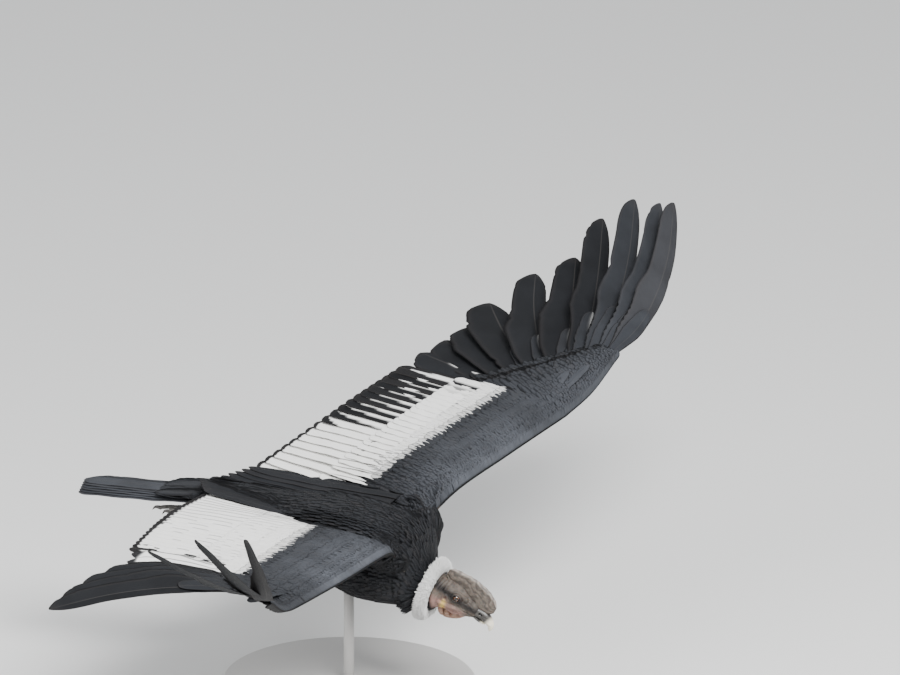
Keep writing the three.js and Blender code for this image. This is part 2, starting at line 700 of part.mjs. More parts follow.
function upperBill() {
  const bill = solidFrom(limb(curve([
    headPoint(92.3, 0, 0), headPoint(110, 0, 1), headPoint(125, 0, -4), headPoint(133, 0, -12), headPoint(135, 0, -22),
  ]), [
    { at: 0, wide: 14, deep: 12 },
    { at: 0.4, wide: 11, deep: 11 },
    { at: 0.7, wide: 8, deep: 8 },
    { at: 1, wide: 1, deep: 1 },
  ], 12));
  const nostril = new THREE.CylinderGeometry(2.4, 2.4, 40, 8).scale(1.8, 1, 1);
  nostril.rotateY(HEAD_LEAN).translate(...headPoint(103, 0, 3).toArray());
  return bill.subtract(solidFrom(nostril));
}

function lowerBill() {
  return solidFrom(limb(curve([headPoint(92.3, 0, -11), headPoint(106, 0, -14), headPoint(119, 0, -15)]), [
    { at: 0, wide: 12, deep: 4 },
    { at: 0.5, wide: 9, deep: 4 },
    { at: 1, wide: 3, deep: 1.5 },
  ], 10));
}

function wattleSolid() {
  const keel = headLoft([[16, -42, 4, 8], [34, -42, 6, 14], [58, -34, 5, 11], [76, -22, 3, 6]], 8);
  const lappets = WATTLE_LAPPETS.map((points) => fold(points, WATTLE_THICKNESS));
  return fused([keel, ...lappets]);
}

function eyeSolid(hand) {
  const centre = headPoint(EYE_PLACE.along, hand * EYE_PLACE.side, EYE_PLACE.up);
  return solidFrom(new THREE.SphereGeometry(EYE_RADIUS, 10, 6).translate(...centre.toArray()));
}

// Stand

function standBase() {
  return new THREE.LatheGeometry([
    new THREE.Vector2(0, 0),
    new THREE.Vector2(BASE_RADIUS, 0),
    new THREE.Vector2(BASE_RADIUS, BASE_THICKNESS - BASE_CHAMFER),
    new THREE.Vector2(BASE_RADIUS - BASE_CHAMFER, BASE_THICKNESS),
    new THREE.Vector2(0, BASE_THICKNESS),
  ], 32).rotateX(Math.PI / 2);
}

function standRod(trunk, birdFrame) {
  const foot = BASE_THICKNESS + ROD_FOOT_GAP;
  const rod = new THREE.CylinderGeometry(ROD_RADIUS, ROD_RADIUS, SHOULDER_Z - foot, 24).rotateX(Math.PI / 2);
  rod.translate(0, 0, (SHOULDER_Z + foot) / 2);
  const body = grown(trunk, CLEARANCE).transform(birdFrame.elements);
  const pieces = solidFrom(rod).subtract(body).decompose();
  return pieces.reduce((low, piece) => (piece.boundingBox().min[2] < low.boundingBox().min[2] ? piece : low));
}

// Assembly

function mesh(name, solid, look) {
  const geometry = solid.isBufferGeometry ? solid : geometryFrom(solid);
  const built = new THREE.Mesh(geometry, new THREE.MeshStandardMaterial({ metalness: 0, ...look }));
  built.name = name;
  return built;
}

function mirrored(solid) {
  return solid.mirror([0, 1, 0]);
}

const bird = new THREE.Group();
bird.position.set(SHOULDER_X, 0, SHOULDER_Z);
bird.rotation.y = NOSE_DOWN;
bird.updateMatrixWorld(true);

const trunk = trunkSolid();
bird.add(mesh('torso', trunk, COLOURS.plumage));

for (const [name, pose] of Object.entries(WINGS)) {
  const place = name === 'left' ? (solid) => solid : mirrored;
  const surface = wingSurface(pose);
  const arm = clearOf(place(armSolid(surface)), trunk);
  const hand = clearOf(place(handSolid(pose, surface)), arm);
  bird.add(mesh(`wing_arm_${name}`, arm, COLOURS.plumage));
  bird.add(mesh(`wing_hand_${name}`, hand, COLOURS.plumage));
  const leg = clearOf(place(legSolid()), trunk);
  bird.add(mesh(`leg_${name}`, leg, COLOURS.leg));
  bird.add(mesh(`foot_${name}`, clearOf(place(footSolid()), leg), COLOURS.leg));
}

bird.add(mesh('tail', clearOf(tailSolid(), trunk), COLOURS.plumage));

const neck = clearOf(neckSolid(), trunk);
const eyes = [1, -1].map(eyeSolid);
const skull = clearOf(skullSolid(), neck, ...eyes);
const bill = clearOf(upperBill(), skull);
const comb = clearOf(combSolid(), skull, neck, bill);
const wattle = clearOf(wattleSolid(), skull, neck);
bird.add(mesh('neck', neck, COLOURS.bareSkin));
bird.add(mesh('ruff', clearOf(ruffSolid(), trunk, neck, skull, comb, wattle), COLOURS.ruff));
bird.add(mesh('head', skull, COLOURS.bareSkin));
bird.add(mesh('comb', comb, COLOURS.comb));
bird.add(mesh('bill_upper', bill, COLOURS.bill));
bird.add(mesh('bill_lower', clearOf(lowerBill(), skull, bill), COLOURS.bill));
bird.add(mesh('wattle', wattle, COLOURS.bareSkin));
bird.add(mesh('eye_left', eyes[0], COLOURS.eye));
bird.add(mesh('eye_right', eyes[1], COLOURS.eye));

const model = new THREE.Group();
model.add(bird);
model.add(mesh('stand_base', standBase(), COLOURS.stand));
model.add(mesh('stand_rod', standRod(trunk, bird.matrixWorld), COLOURS.stand));

export default model;
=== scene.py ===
"""The looks of a gliding andean condor on a plain display stand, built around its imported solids."""

import json

import bpy
import numpy as np
from bpy.props import FloatProperty, FloatVectorProperty, PointerProperty
from mathutils import Matrix, Vector
from mathutils.bvhtree import BVHTree

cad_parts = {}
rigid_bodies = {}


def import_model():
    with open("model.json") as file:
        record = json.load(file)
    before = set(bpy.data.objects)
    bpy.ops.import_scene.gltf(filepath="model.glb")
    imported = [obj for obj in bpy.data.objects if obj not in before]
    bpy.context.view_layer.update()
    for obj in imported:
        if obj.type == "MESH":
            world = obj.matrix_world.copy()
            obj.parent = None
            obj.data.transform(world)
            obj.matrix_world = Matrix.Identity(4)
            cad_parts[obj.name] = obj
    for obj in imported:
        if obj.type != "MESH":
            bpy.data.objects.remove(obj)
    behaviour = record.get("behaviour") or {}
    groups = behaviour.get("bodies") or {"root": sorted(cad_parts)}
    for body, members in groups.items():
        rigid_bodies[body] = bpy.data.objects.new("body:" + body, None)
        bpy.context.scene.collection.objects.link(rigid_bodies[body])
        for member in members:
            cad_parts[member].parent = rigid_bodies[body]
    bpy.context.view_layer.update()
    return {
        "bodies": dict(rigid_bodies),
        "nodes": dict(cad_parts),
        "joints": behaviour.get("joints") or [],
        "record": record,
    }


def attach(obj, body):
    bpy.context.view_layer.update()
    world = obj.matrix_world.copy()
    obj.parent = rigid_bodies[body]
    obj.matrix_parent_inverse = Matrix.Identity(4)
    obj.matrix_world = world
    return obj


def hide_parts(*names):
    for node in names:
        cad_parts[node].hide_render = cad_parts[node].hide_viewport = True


bl_info = {
    "name": "Andean Condor",
    "version": (1, 0, 0),
    "blender": (4, 5, 0),
    "location": "3D View > Sidebar > Condor",
    "description": "Builds a gliding condor, feather by feather, on a plain display stand",
    "category": "Object",
}

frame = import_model()

# ---------------------------------------------------------------------------------------------------------
# Sizes of the bird, in millimetres, in its own frame: x ahead, y to its left, z up from the shoulder centre
# ---------------------------------------------------------------------------------------------------------

MM = 0.001
SHOULDER = np.array([120.0, 0.0, 370.0])
NOSE_DOWN = np.radians(3.7)

TRUNK = np.array([
    # along, above, half width, half depth, forward lean in degrees
    [60, -104, 64, 64, 14], [42, -74, 94, 85, 10], [8, -63, 112, 94, 5], [-50, -56, 120, 99, 0],
    [-120, -47, 121, 92, -4], [-190, -37, 110, 80, -7], [-260, -26, 90, 63, -8], [-330, -9, 66, 45, -8],
    [-400, 6, 44, 27, -8],
], float)
TRUNK_SQUARENESS = 2.5
COAT_DEPTH = 7.0

RUFF_CENTRE = np.array([85.0, 0.0, -112.0])
RUFF_LEAN = np.radians(14)
NECK_RADIUS = 44.0

HEAD_ORIGIN = np.array([105.0, 0.0, -100.0])
HEAD_LEAN = np.radians(25)
EYE_RADIUS, CORNEA_GAP, CORNEA_BULGE = 8.0, 0.25, 0.9
EYE_PLACE = (43.0, 21.5, 8.0)
EAR_PLACE = (22.0, 32.0, -4.0)

# For each wing: which side it is on, its leading edge, where its outer secondaries turn to stripes, where
# the white begins along it and the shoulder's coat ends, how many secondaries are black and primaries white,
# how many primaries have coverts, the painted sheen of the hand, the start of the scapulars, the strength of
# the painted highlights at the coverts' tips, the painted sheen of the outer primaries, and the hand's bend,
# digit and rear edge. The left wing, which is lit, gets more painted sheen and highlight than the right,
# which lies more in shade. The lists of ten are for the primaries from the innermost: breadth, twist in
# degrees, tip, sag below and bow ahead of a straight line.
WINGS = {
    "left": dict(
        hand=1,
        leading=[[-5, 30, -50], [22, 95, 2], [47, 165, 44], [78, 370, 70], [106, 614, 88]],
        striped_from=0.52,
        white_beyond=0.16,
        shoulder_to=0.42,
        black_secondaries=1,
        white_primaries=0,
        covered_primaries=10,
        hand_painted_sheen=0.6,
        scapulars_from=0.17,
        painted_tip_highlight_strength=1.0,
        breadths=[1.3, 1.35, 1.35, 1.35, 1.35, 1.35, 1.5, 1.5, 1.45, 1.4],
        finger_painted_sheen=0.3,
        twists=[0, 0, 4, 8, 10, 14, 26, 42, 50, 50],
        bend=[127, 700, 119],
        digit=[142, 789, 172],
        rear_lift=-4,
        feather_line=[[-402, 118, 25], [-365, 280, 57], [-327, 450, 91], [-301, 650, 107]],
        tips=[
            [-296, 744, 108], [-279, 827, 113], [-256, 899, 125], [-256, 1011, 145], [-204, 1131, 185],
            [-129, 1170, 225], [-121, 1287, 280], [-58, 1308, 330], [5, 1303, 335], [37, 1299, 345],
        ],
        sag=[0, 0, 0, 4, 8, 12, 16, 22, 26, 30],
        bow=[0, 0, -4, -14, -22, 0, 12, 24, 32, 38],
    ),
    "right": dict(
        hand=-1,
        leading=[[-5, 30, -50], [34, 100, -18], [60, 185, 24], [58, 400, 37], [60, 617, 56]],
        striped_from=0.98,
        white_beyond=0.07,
        shoulder_to=0.64,
        black_secondaries=0,
        white_primaries=2,
        covered_primaries=7,
        hand_painted_sheen=0.35,
        scapulars_from=0.02,
        painted_tip_highlight_strength=0.0,
        breadths=[1.15, 1.15, 1.1, 1, 1, 1, 1.15, 1.1, 1, 1],
        finger_painted_sheen=0.0,
        twists=[0, 0, 4, 8, 10, 14, 26, 0, 12, 36],
        bend=[50, 690, 58],
        digit=[61, 802, 116],
        rear_lift=14,
        feather_line=[[-418, 112, 32], [-414, 250, 48], [-402, 380, 59], [-378, 560, 66]],
        tips=[
            [-335, 644, 92], [-312, 720, 103], [-288, 814, 118], [-282, 905, 137], [-279, 1014, 157],
            [-266, 1143, 172], [-248, 1254, 185], [-31, 1250, 360], [67, 1234, 400], [167, 1200, 410],
        ],
        sag=[0, -6, -12, -20, -28, -34, -36, 20, 26, 30],
        bow=[0, 0, 0, 0, 0, 4, 14, 24, 28, 24],
    ),
}
ARM_ROOT_THICKNESS, WRIST_THICKNESS, DIGIT_THICKNESS = 46.0, 30.0, 12.0
ARM_CAMBER = 13.0
FLESH_SHARE = 0.52
# thickness of the wing under its coat, and where the coat's roots are sought, against the solids'
FLESH_SLIM, COAT_SLIM = 0.7, 0.85
# share of the chord behind which the upper wing is white
WHITE_FROM = 0.38
PRIMARY_COUNT, SECONDARY_COUNT, GREATER_COVERT_COUNT = 10, 20, 27
SCAPULAR_COUNT, ALULA_COUNT = 6, 2
WAISTED_FROM, NOTCHED_FROM = 4, 6
ROOT_CROWDING = 1.45
VANE_ROLL = np.radians(2.3)

TAIL_ROOT = np.array([-400.3, 0.0, 6.0])
TAIL_TIP = np.array([-736.0, 0.0, -33.0])
TAIL_HALF_SPREAD, TAIL_ROOT_HALF_SPREAD = 50.0, 40.0
RECTRIX_PAIRS, RECTRIX_WIDTH = 6, 54.0

HIP = np.array([-190.0, 60.0, -84.0])
ANKLE = np.array([-335.0, 48.0, -50.0])
FOOT = np.array([-440.0, 42.0, -35.0])
TOE_LENGTH = 105.0

BASE_RADIUS, BASE_THICKNESS, BASE_CHAMFER = 270.0, 24.0, 5.0
FOOT_ROUND, EDGE_ROUND = 1.5, 0.6
ROD_RADIUS, ROD_FOOT_GAP, ROD_TOP = 11.0, 0.3, 240.0

# ---------------------------------------------------------------------------------------------------------
# Curves and surfaces as whole arrays
# ---------------------------------------------------------------------------------------------------------

UP = np.array([0.0, 0.0, 1.0])
LEFTWARD = np.array([0.0, 1.0, 0.0])


def unit(vectors):
    """Each vector divided by its own length."""
    return vectors / np.maximum(np.linalg.norm(vectors, axis=-1, keepdims=True), 1e-12)


def smooth(low, high, value):
    """0 up to low, 1 from high on, and 3t² - 2t³ between, with t the share of the way."""
    t = np.clip((value - low) / (high - low), 0, 1)
    return t * t * (3 - 2 * t)


def mix(first, second, share):
    """first + (second - first) * share."""
    return first + (second - first) * share


def bell(value, width):
    """exp(-(value / width)²), 1 at nought."""
    return np.exp(-((value / width) ** 2))


def turned(vectors, axis, angle):
    """Vectors turned about unit axes: v cos a + (k × v) sin a + k (k · v)(1 - cos a)."""
    c, s = np.cos(angle)[..., None], np.sin(angle)[..., None]
    along = np.sum(vectors * axis, axis=-1, keepdims=True)
    return vectors * c + np.cross(axis, vectors) * s + axis * along * (1 - c)


def curve(points, share):
    """Places at shares of the length of a smooth curve through the points: a cubic between each two, whose
    slopes are set from the square roots of the distances between neighbours."""
    p = np.asarray(points, float)
    p = np.vstack([2 * p[0] - p[1], p, 2 * p[-1] - p[-2]])
    gap = np.sqrt(np.linalg.norm(np.diff(p, axis=0), axis=1))[:, None]
    before, here, after = gap[:-2], gap[1:-1], gap[2:]
    p0, p1, p2, p3 = p[:-3], p[1:-2], p[2:-1], p[3:]
    slope = ((p1 - p0) / before - (p2 - p0) / (before + here) + (p2 - p1) / here) * here
    slope_on = ((p2 - p1) / here - (p3 - p1) / (here + after) + (p3 - p2) / after) * here
    t = np.linspace(0, 1, 41)[None, :, None]
    a, b, m, n = p1[:, None], p2[:, None], slope[:, None], slope_on[:, None]
    run = a + m * t + (3 * (b - a) - 2 * m - n) * t**2 + (2 * (a - b) + m + n) * t**3
    run = np.vstack([run[:, :-1].reshape(-1, p.shape[1]), p2[-1:]])
    length = np.concatenate([[0], np.cumsum(np.linalg.norm(np.diff(run, axis=0), axis=1))])
    place = np.clip(share, 0, 1) * length[-1]
    return np.stack([np.interp(place, length, column) for column in run.T], axis=-1)


def to_frame(points):
    """From the bird's own millimetres to the frame's metres: a turn about y, then the shoulder's place."""
    x, y, z = np.moveaxis(points, -1, 0)
    c, s = np.cos(NOSE_DOWN), np.sin(NOSE_DOWN)
    return (np.stack([x * c + z * s, y, z * c - x * s], axis=-1) + SHOULDER) * MM


def from_frame(points):
    """From the frame's metres back to the bird's own millimetres."""
    x, y, z = np.moveaxis(points / MM - SHOULDER, -1, 0)
    c, s = np.cos(NOSE_DOWN), np.sin(NOSE_DOWN)
    return np.stack([x * c - z * s, y, z * c + x * s], axis=-1)


def wavy(points, size, seed):
    """A smooth random field from -1 to 1: three octaves of sines along random directions."""
    rng = np.random.default_rng(seed)
    total = np.zeros(points.shape[:-1])
    for octave in range(3):
        for _ in range(4):
            direction = unit(rng.normal(size=points.shape[-1])) * 2 * np.pi / size * 1.9**octave
            total += np.sin(points @ direction + rng.uniform(0, 6.28)) * 0.6**octave
    return total / 6


def ring_of(centre, side, up, wide, deep, columns):
    """Whole ellipses round the centres, from under them round by their left."""
    return oblong(centre, side, up, wide, deep, np.arange(columns) / columns)


def oblong(centre, side, up, wide, deep, turn, squareness=2.0):
    """Points of rounded oblongs at shares of a turn: centre + side * wide * c^(2/q) + up * deep * s^(2/q),
    with c and s the cosine and sine of the angle. The last axis is the place, the one before it the turn."""
    angle = turn * 2 * np.pi - np.pi / 2
    c, s = np.cos(angle), np.sin(angle)
    power = 2 / np.asarray(squareness, float)[..., None]
    across = np.sign(c) * np.abs(c) ** power * np.asarray(wide, float)[..., None]
    above = np.sign(s) * np.abs(s) ** power * np.asarray(deep, float)[..., None]
    centre, side, up = (a[..., None, :] for a in (centre, side, up))
    return centre + side * across[..., None] + up * above[..., None]


# ---------------------------------------------------------------------------------------------------------
# Pieces
# ---------------------------------------------------------------------------------------------------------


class Piece:
    """One object in the making: closed tubes are added to it, then it is built with its maps and values."""

    def __init__(self, name):
        self.name = name
        self.points, self.corners, self.sizes, self.values = [], [], [], []
        self.maps = {"OFBake": [], "Vane": []}
        self.count = 0

    def tubes(self, rings, bake=None, vane=None, hand=1, **values):
        """Closed tubes over rings (copies, rows, columns, 3), with quads between the rings and a cap on each
        end. bake and vane are pairs at each point, or else the shares round and along."""
        rings = rings * np.array([1.0, hand, 1.0])
        copies, rows, columns = rings.shape[:3]
        i, j = (a.ravel() for a in np.meshgrid(np.arange(rows - 1), np.arange(columns), indexing="ij"))
        after = (j + 1) % columns
        here, ahead = i * columns, (i + 1) * columns
        quads = np.stack([here + j, here + after, ahead + after, ahead + j], 1)
        round_share = np.stack([j, j + 1, j + 1, j], 1) / columns
        along_share = np.stack([i, i, i + 1, i + 1], 1) / (rows - 1)
        shares = np.stack([round_share, along_share], 2)
        around = np.arange(columns)
        caps = np.stack([around[::-1], around + (rows - 1) * columns])
        one = rings[0].reshape(-1, 3)
        a, b, c = (one[quads[:, k]] for k in (0, 1, 2))
        inside_out = np.sum(np.cross(b - a, c - a) * (a + b + c - 3 * one.mean(axis=0))) < 0
        if inside_out:
            quads, shares, caps = quads[:, ::-1], shares[:, ::-1], caps[:, ::-1]
        start = self.count + np.arange(copies)[:, None] * rows * columns
        corners = np.concatenate([quads.ravel(), caps.ravel()])
        self.corners.append((corners + start).ravel())
        self.sizes.append(np.tile(np.concatenate([np.full(len(quads), 4), [columns, columns]]), copies))
        for name, given in (("OFBake", bake), ("Vane", vane)):
            if given is None:
                ends = np.stack([caps % columns / columns, (caps >= columns).astype(float)], -1)
                spread = np.concatenate([shares.reshape(-1, 2), ends.reshape(-1, 2)])
                self.maps[name].append(np.tile(spread, (copies, 1)))
            else:
                u, v = (np.broadcast_to(g, rings.shape[:3]).reshape(copies, -1)[:, corners] for g in given)
                self.maps[name].append(np.stack([u, v], -1).reshape(-1, 2))
        shape = rings.shape[:3]
        self.values.append({key: np.broadcast_to(value, shape).ravel() for key, value in values.items()})
        self.points.append(rings.reshape(-1, 3))
        self.count += copies * rows * columns

    def mesh(self, placed=False):
        """The mesh of all that was added; placed says that its points are already the frame's metres."""
        points = np.concatenate(self.points)
        points = points if placed else to_frame(points)
        corners = np.concatenate(self.corners)
        sizes = np.concatenate(self.sizes)
        starts = np.concatenate([[0], np.cumsum(sizes)[:-1]])
        mesh = bpy.data.meshes.new(self.name)
        mesh.vertices.add(len(points))
        mesh.vertices.foreach_set("co", points.astype(np.float32).ravel())
        mesh.loops.add(len(corners))
        mesh.loops.foreach_set("vertex_index", corners.astype(np.int32))
        mesh.polygons.add(len(sizes))
        mesh.polygons.foreach_set("loop_start", starts.astype(np.int32))
        mesh.polygons.foreach_set("use_smooth", np.ones(len(sizes), bool))
        for name, pairs in self.maps.items():
            pairs = np.concatenate(pairs).astype(np.float32)
            mesh.uv_layers.new(name=name).data.foreach_set("uv", pairs.ravel())
        for key in sorted({key for part in self.values for key in part}):
            parts = [part.get(key, np.zeros(len(p))) for part, p in zip(self.values, self.points)]
            numbers = np.concatenate(parts).astype(np.float32)
            mesh.attributes.new(key, "FLOAT", "POINT").data.foreach_set("value", numbers)
        mesh.update(calc_edges=True)
        return mesh

    def build(self, material, slot, replaces=(), placed=False):
        """The finished object, declared to the frame."""
        mesh = self.mesh(placed)
        mesh.materials.append(material)
        return declared(bpy.data.objects.new(self.name, mesh), replaces)


def declared(piece, replaces=()):
    """Links a piece to the scene and tells the frame what it rides on and what it hides."""
    if piece.name not in bpy.context.scene.objects:
        bpy.context.scene.collection.objects.link(piece)
    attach(piece, "root")
    if replaces:
        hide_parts(*replaces)
    return piece


# ---------------------------------------------------------------------------------------------------------
# Feathers
# ---------------------------------------------------------------------------------------------------------

VANE_TOP = np.array([1, 0.86, 0.62, 0.36, 0.14, 0.05, 0, -0.05, -0.14, -0.36, -0.62, -0.86, -1])
VANE_UNDER = np.array([-0.75, -0.4, -0.09, 0, 0.09, 0.4, 0.75])
VANE_THICKNESS, VANE_EDGE = 0.8, 0.12
VANE_WAVE, VANE_WAVES = 0.5, 23
VANE_DROOP, FLAT_DROOP = 0.025, 0.008
SHAFT_HEIGHT, SHAFT_WIDTH = 0.8, 0.06
SPLIT_DEPTHS, SPLIT_LENGTH = (0.02, 0.09), 0.01
VANE_ROWS = 44
# shares of a vane's length, closer to each other toward its tip
VANE_AT = 1 - (1 - np.linspace(0, 1, VANE_ROWS)) ** 1.6
# breadth of one feather's patch on the skin's map
TUFT_BAKE = 0.003


def vanes(
    piece, paths, lead, trail, turn, pale, seed, bake,
    lift=0.0, hand=1, sheen=0.0, splits=4, droop=VANE_DROOP,
):
    """Closed blades along paths (n, rows, 3). The web reaches lead on one side of the shaft and trail on the
    other, side = along × up turned by turn about the path, and the ring runs over the top and back beneath:
    centre + side * s * web + normal * (± thickness (1 - s²) / 2 + shaft bell(s) - droop s²)."""
    rng = np.random.default_rng(seed)
    copies, rows = paths.shape[:2]
    share = VANE_AT
    along = unit(np.gradient(paths, axis=1))
    side = unit(np.cross(along, UP))
    side = turned(side, along, np.broadcast_to(turn, (copies, rows)))
    normal = np.cross(side, along)
    centre = paths + normal * (lift * np.minimum(1, share / 0.3))[None, :, None]
    ragged = np.ones((copies, rows, 2))
    for _ in range(splits):
        place = rng.uniform(0.3, 0.97, (copies, 1, 2))
        depth = rng.uniform(*SPLIT_DEPTHS, (copies, 1, 2))
        ragged -= depth * bell(share[None, :, None] - place, SPLIT_LENGTH)
    s = np.concatenate([VANE_TOP, VANE_UNDER])
    top = np.concatenate([np.ones(len(VANE_TOP)), -np.ones(len(VANE_UNDER))])
    web = np.where(s > 0, (lead * ragged[..., 0])[..., None], (trail * ragged[..., 1])[..., None])
    shaft = SHAFT_HEIGHT * bell(s, SHAFT_WIDTH) * (1 - 0.7 * share)[:, None]
    rise = top * (VANE_THICKNESS / 2 * (1 - s**2) + VANE_EDGE) + top * shaft - droop * web * s**2
    wave = VANE_WAVE * np.sin(share * VANE_WAVES + rng.uniform(0, 6, (copies, 1)))[..., None] * s
    centre, side, normal = (a[:, :, None] for a in (centre, side, normal))
    rings = centre + side * (web * s)[..., None] + normal * (rise + wave)[..., None]
    across = np.broadcast_to((1 + s) / 2, web.shape)
    reach = np.broadcast_to(share[None, :, None], web.shape)
    tone = np.broadcast_to(rng.uniform(-1, 1, (copies, 1, 1)), web.shape)
    u, v = (np.broadcast_to(b, (copies,))[:, None, None] for b in bake)
    # sheen is a painted sheen that lightens the feather's black toward slate
    piece.tubes(
        rings, bake=(u + TUFT_BAKE * across, v + TUFT_BAKE * (reach - 1)), vane=(across, reach), hand=hand,
        pale=pale(np.arange(copies)[:, None, None], s, share[None, :, None]), tone=tone, sheen=sheen,
    )


def shaped(stations, share, tip=0.07):
    """Widths of the two webs from (share, lead, trail) stations, rounded over the tip's share."""
    at, lead, trail = np.array(stations, float).T
    blunt = np.sqrt(np.clip(1 - (np.clip(share - 1 + tip, 0, 1) / tip) ** 2, 0.004, 1))
    return np.interp(share, at, lead) * blunt, np.interp(share, at, trail) * blunt


def alike(count, widths):
    """The same widths for each of a number of feathers."""
    return [width[None] * np.ones((count, 1)) for width in widths]


LEAF_ALONG = np.array([0, 0.22, 0.5, 0.78, 0.93, 1.0])
LEAF_WIDTH = np.array([0.45, 0.85, 1.0, 0.9, 0.62, 0.2])
LEAF_DROOP, LEAF_ROLL = 0.045, 0.035
LEAF_THICKNESS, LEAF_THICKENING = 0.13, 0.007


def leaves(
    piece, roots, lie, normal, length, width, lift, curl, bake, pale=0.0, sheen=0.0, tone=0.0, hand=1,
):
    """Small closed feathers, four points to a ring: root + lie * L t + normal * (lift t - curl t²) L, with
    the edges drooping under the middle."""
    t = LEAF_ALONG[None, :, None]
    length, width, lift, curl, pale, sheen, tone = (
        np.broadcast_to(value, roots.shape[:1])[:, None, None]
        for value in (length, width, lift, curl, pale, sheen, tone)
    )
    side = np.cross(lie, normal)[:, None]
    lie, normal = lie[:, None], normal[:, None]
    centre = roots[:, None] + lie * length * t + normal * (lift * t - curl * t**2) * length
    half = width / 2 * LEAF_WIDTH[None, :, None]
    thick = LEAF_THICKNESS + LEAF_THICKENING * width
    rings = np.stack([
        centre + side * half - normal * half * (LEAF_DROOP - LEAF_ROLL), centre + normal * thick,
        centre - side * half - normal * half * (LEAF_DROOP + LEAF_ROLL), centre - normal * thick * 0.6,
    ], axis=2)
    across = np.array([1, 0.5, 0, 0.5])[None, None, :]
    u, v = (np.asarray(b)[:, None, None] for b in bake)
    # sheen is a painted sheen that lightens the feather's black toward slate
    piece.tubes(
        rings, bake=(u + TUFT_BAKE * (across - 0.5), v + TUFT_BAKE * (t - 0.5)), vane=(across, t),
        hand=hand, pale=pale, sheen=sheen, tone=tone,
    )


# the finished skin's search tree, made at its first use
SEAT = {}
# least cosine between a root's normal and the skin's, where the root may sit
SEAT_FACING = 0.2


def seated(roots, lie, normal, reach, hand=1):
    """Moves roots along their normals onto the finished skin, where it lies within reach, and lays the
    feathers along it there."""
    skin = bpy.data.objects["skin"].data
    if "tree" not in SEAT:
        points = np.empty(len(skin.vertices) * 3)
        skin.vertices.foreach_get("co", points)
        faces = [tuple(face.vertices) for face in skin.polygons]
        SEAT["tree"] = BVHTree.FromPolygons(from_frame(points.reshape(-1, 3)).tolist(), faces)
    mirror = np.array([1.0, hand, 1.0])
    for i, (root, out) in enumerate(zip(roots * mirror, normal * mirror)):
        place, facing, _, _ = SEAT["tree"].ray_cast(Vector(root + out * reach), Vector(-out), 2 * reach)
        if place is not None and facing.dot(Vector(out)) > SEAT_FACING:
            roots[i] = np.array(place) * mirror
            normal[i] = unit(0.5 * normal[i] + 0.5 * np.array(facing) * mirror)
    lie = unit(lie - normal * np.sum(lie * normal, axis=-1, keepdims=True))
    return roots, lie, normal


def outward_of(root, normal):
    """Normals turned to face away from the middle of their roots."""
    return normal * np.sign(np.sum(normal * (root - root.mean(axis=0)), axis=-1, keepdims=True))


def on_surface(place, u, v, facing, lean):
    """Roots, lie and normal on a surface place(u, v): the lie is down v, leaned by an angle toward u."""
    step = 2e-3
    root = place(u, v)
    down = place(u, v + step) - place(u, v - step)
    across = place(u + step, v) - place(u - step, v)
    normal = unit(np.cross(across, down)) * facing
    lie = turned(unit(down), normal, np.broadcast_to(lean, u.shape))
    return root, lie, normal


# ---------------------------------------------------------------------------------------------------------
# Wings
# ---------------------------------------------------------------------------------------------------------

# the parts of the skin's own map: left, foot, breadth, height
BAKE_SPINE = (0.0, 0.0, 0.5, 1.0)
BAKE_WING = {"left": (0.5, 0.0, 0.25, 0.7), "right": (0.75, 0.0, 0.25, 0.7)}
BAKE_SHOULDER = {"left": (0.5, 0.7, 0.25, 0.1), "right": (0.75, 0.7, 0.25, 0.1)}
BAKE_LEG = {"left": (0.5, 0.8, 0.25, 0.2), "right": (0.75, 0.8, 0.25, 0.2)}
# length of the hand on that map, against the arm's
HAND_RUN = 0.4


def baked(region, u, v):
    """Shares u and v of a surface as a place on the skin's own map."""
    return region[0] + region[2] * u, region[1] + region[3] * v


def wing_run(on_arm, on_hand=0.0):
    """The share along the wing's part of the map, from the share along the arm and the one along the hand."""
    return (on_arm + HAND_RUN * on_hand) / (1 + HAND_RUN)


def camber(share):
    """Height of the arm's arch at a share of its breadth: 13 sin(π share^0.7)."""
    return ARM_CAMBER * np.sin(np.pi * share**0.7)


def wing_surface(wing, along, share, lift=0.0):
    """The arched plane of the arm: straight from the leading edge to the feather line, plus camber."""
    along, share, lift = np.broadcast_arrays(np.asarray(along, float), share, lift)
    point = mix(curve(wing["leading"], along), curve(wing["feather_line"], along), share[..., None])
    rise = camber(np.clip(share, 0, 1)) + lift
    return point + UP * rise[..., None]


def flesh(most, share):
    """Thickness of the arm at a share of its breadth: 2.6 most √share (1 - share) + 5 share."""
    share = np.clip(share, 0, 1)
    return 2.6 * most * np.sqrt(share) * (1 - share) + 5 * share


def arm_place(wing, facing, slim=1.0):
    """The arm's upper or under face as a function of the shares along and across it."""
    def place(along, share):
        """Its points."""
        most = mix(ARM_ROOT_THICKNESS, WRIST_THICKNESS, along) * np.minimum(1, 0.6 + 2 * along)
        return wing_surface(wing, along, share * FLESH_SHARE, facing * slim * flesh(most, share) / 2)
    return place


def hand_place(wing, facing, slim=1.0):
    """The hand's upper or under face, from the wrist to the tip of the digit."""
    digit = np.array(wing["digit"], float)
    flat_rear = wing_surface(wing, 1, FLESH_SHARE, -camber(FLESH_SHARE))
    tip_rear = digit + [-52, 20, wing["rear_lift"]]
    lead = [wing_surface(wing, 1, 0), wing["bend"], digit]
    rear = [flat_rear, (flat_rear + tip_rear) / 2 + [8, 12, wing["rear_lift"] / 2], tip_rear]

    def place(along, share):
        """Its points."""
        point = mix(curve(lead, along), curve(rear, along), np.asarray(share)[..., None])
        arch = (1 - along) * camber(np.clip(share, 0, 1) * FLESH_SHARE)
        thick = flesh(mix(WRIST_THICKNESS, DIGIT_THICKNESS, along), share)
        return point + UP * (arch + facing * slim * thick / 2)[..., None]
    return place


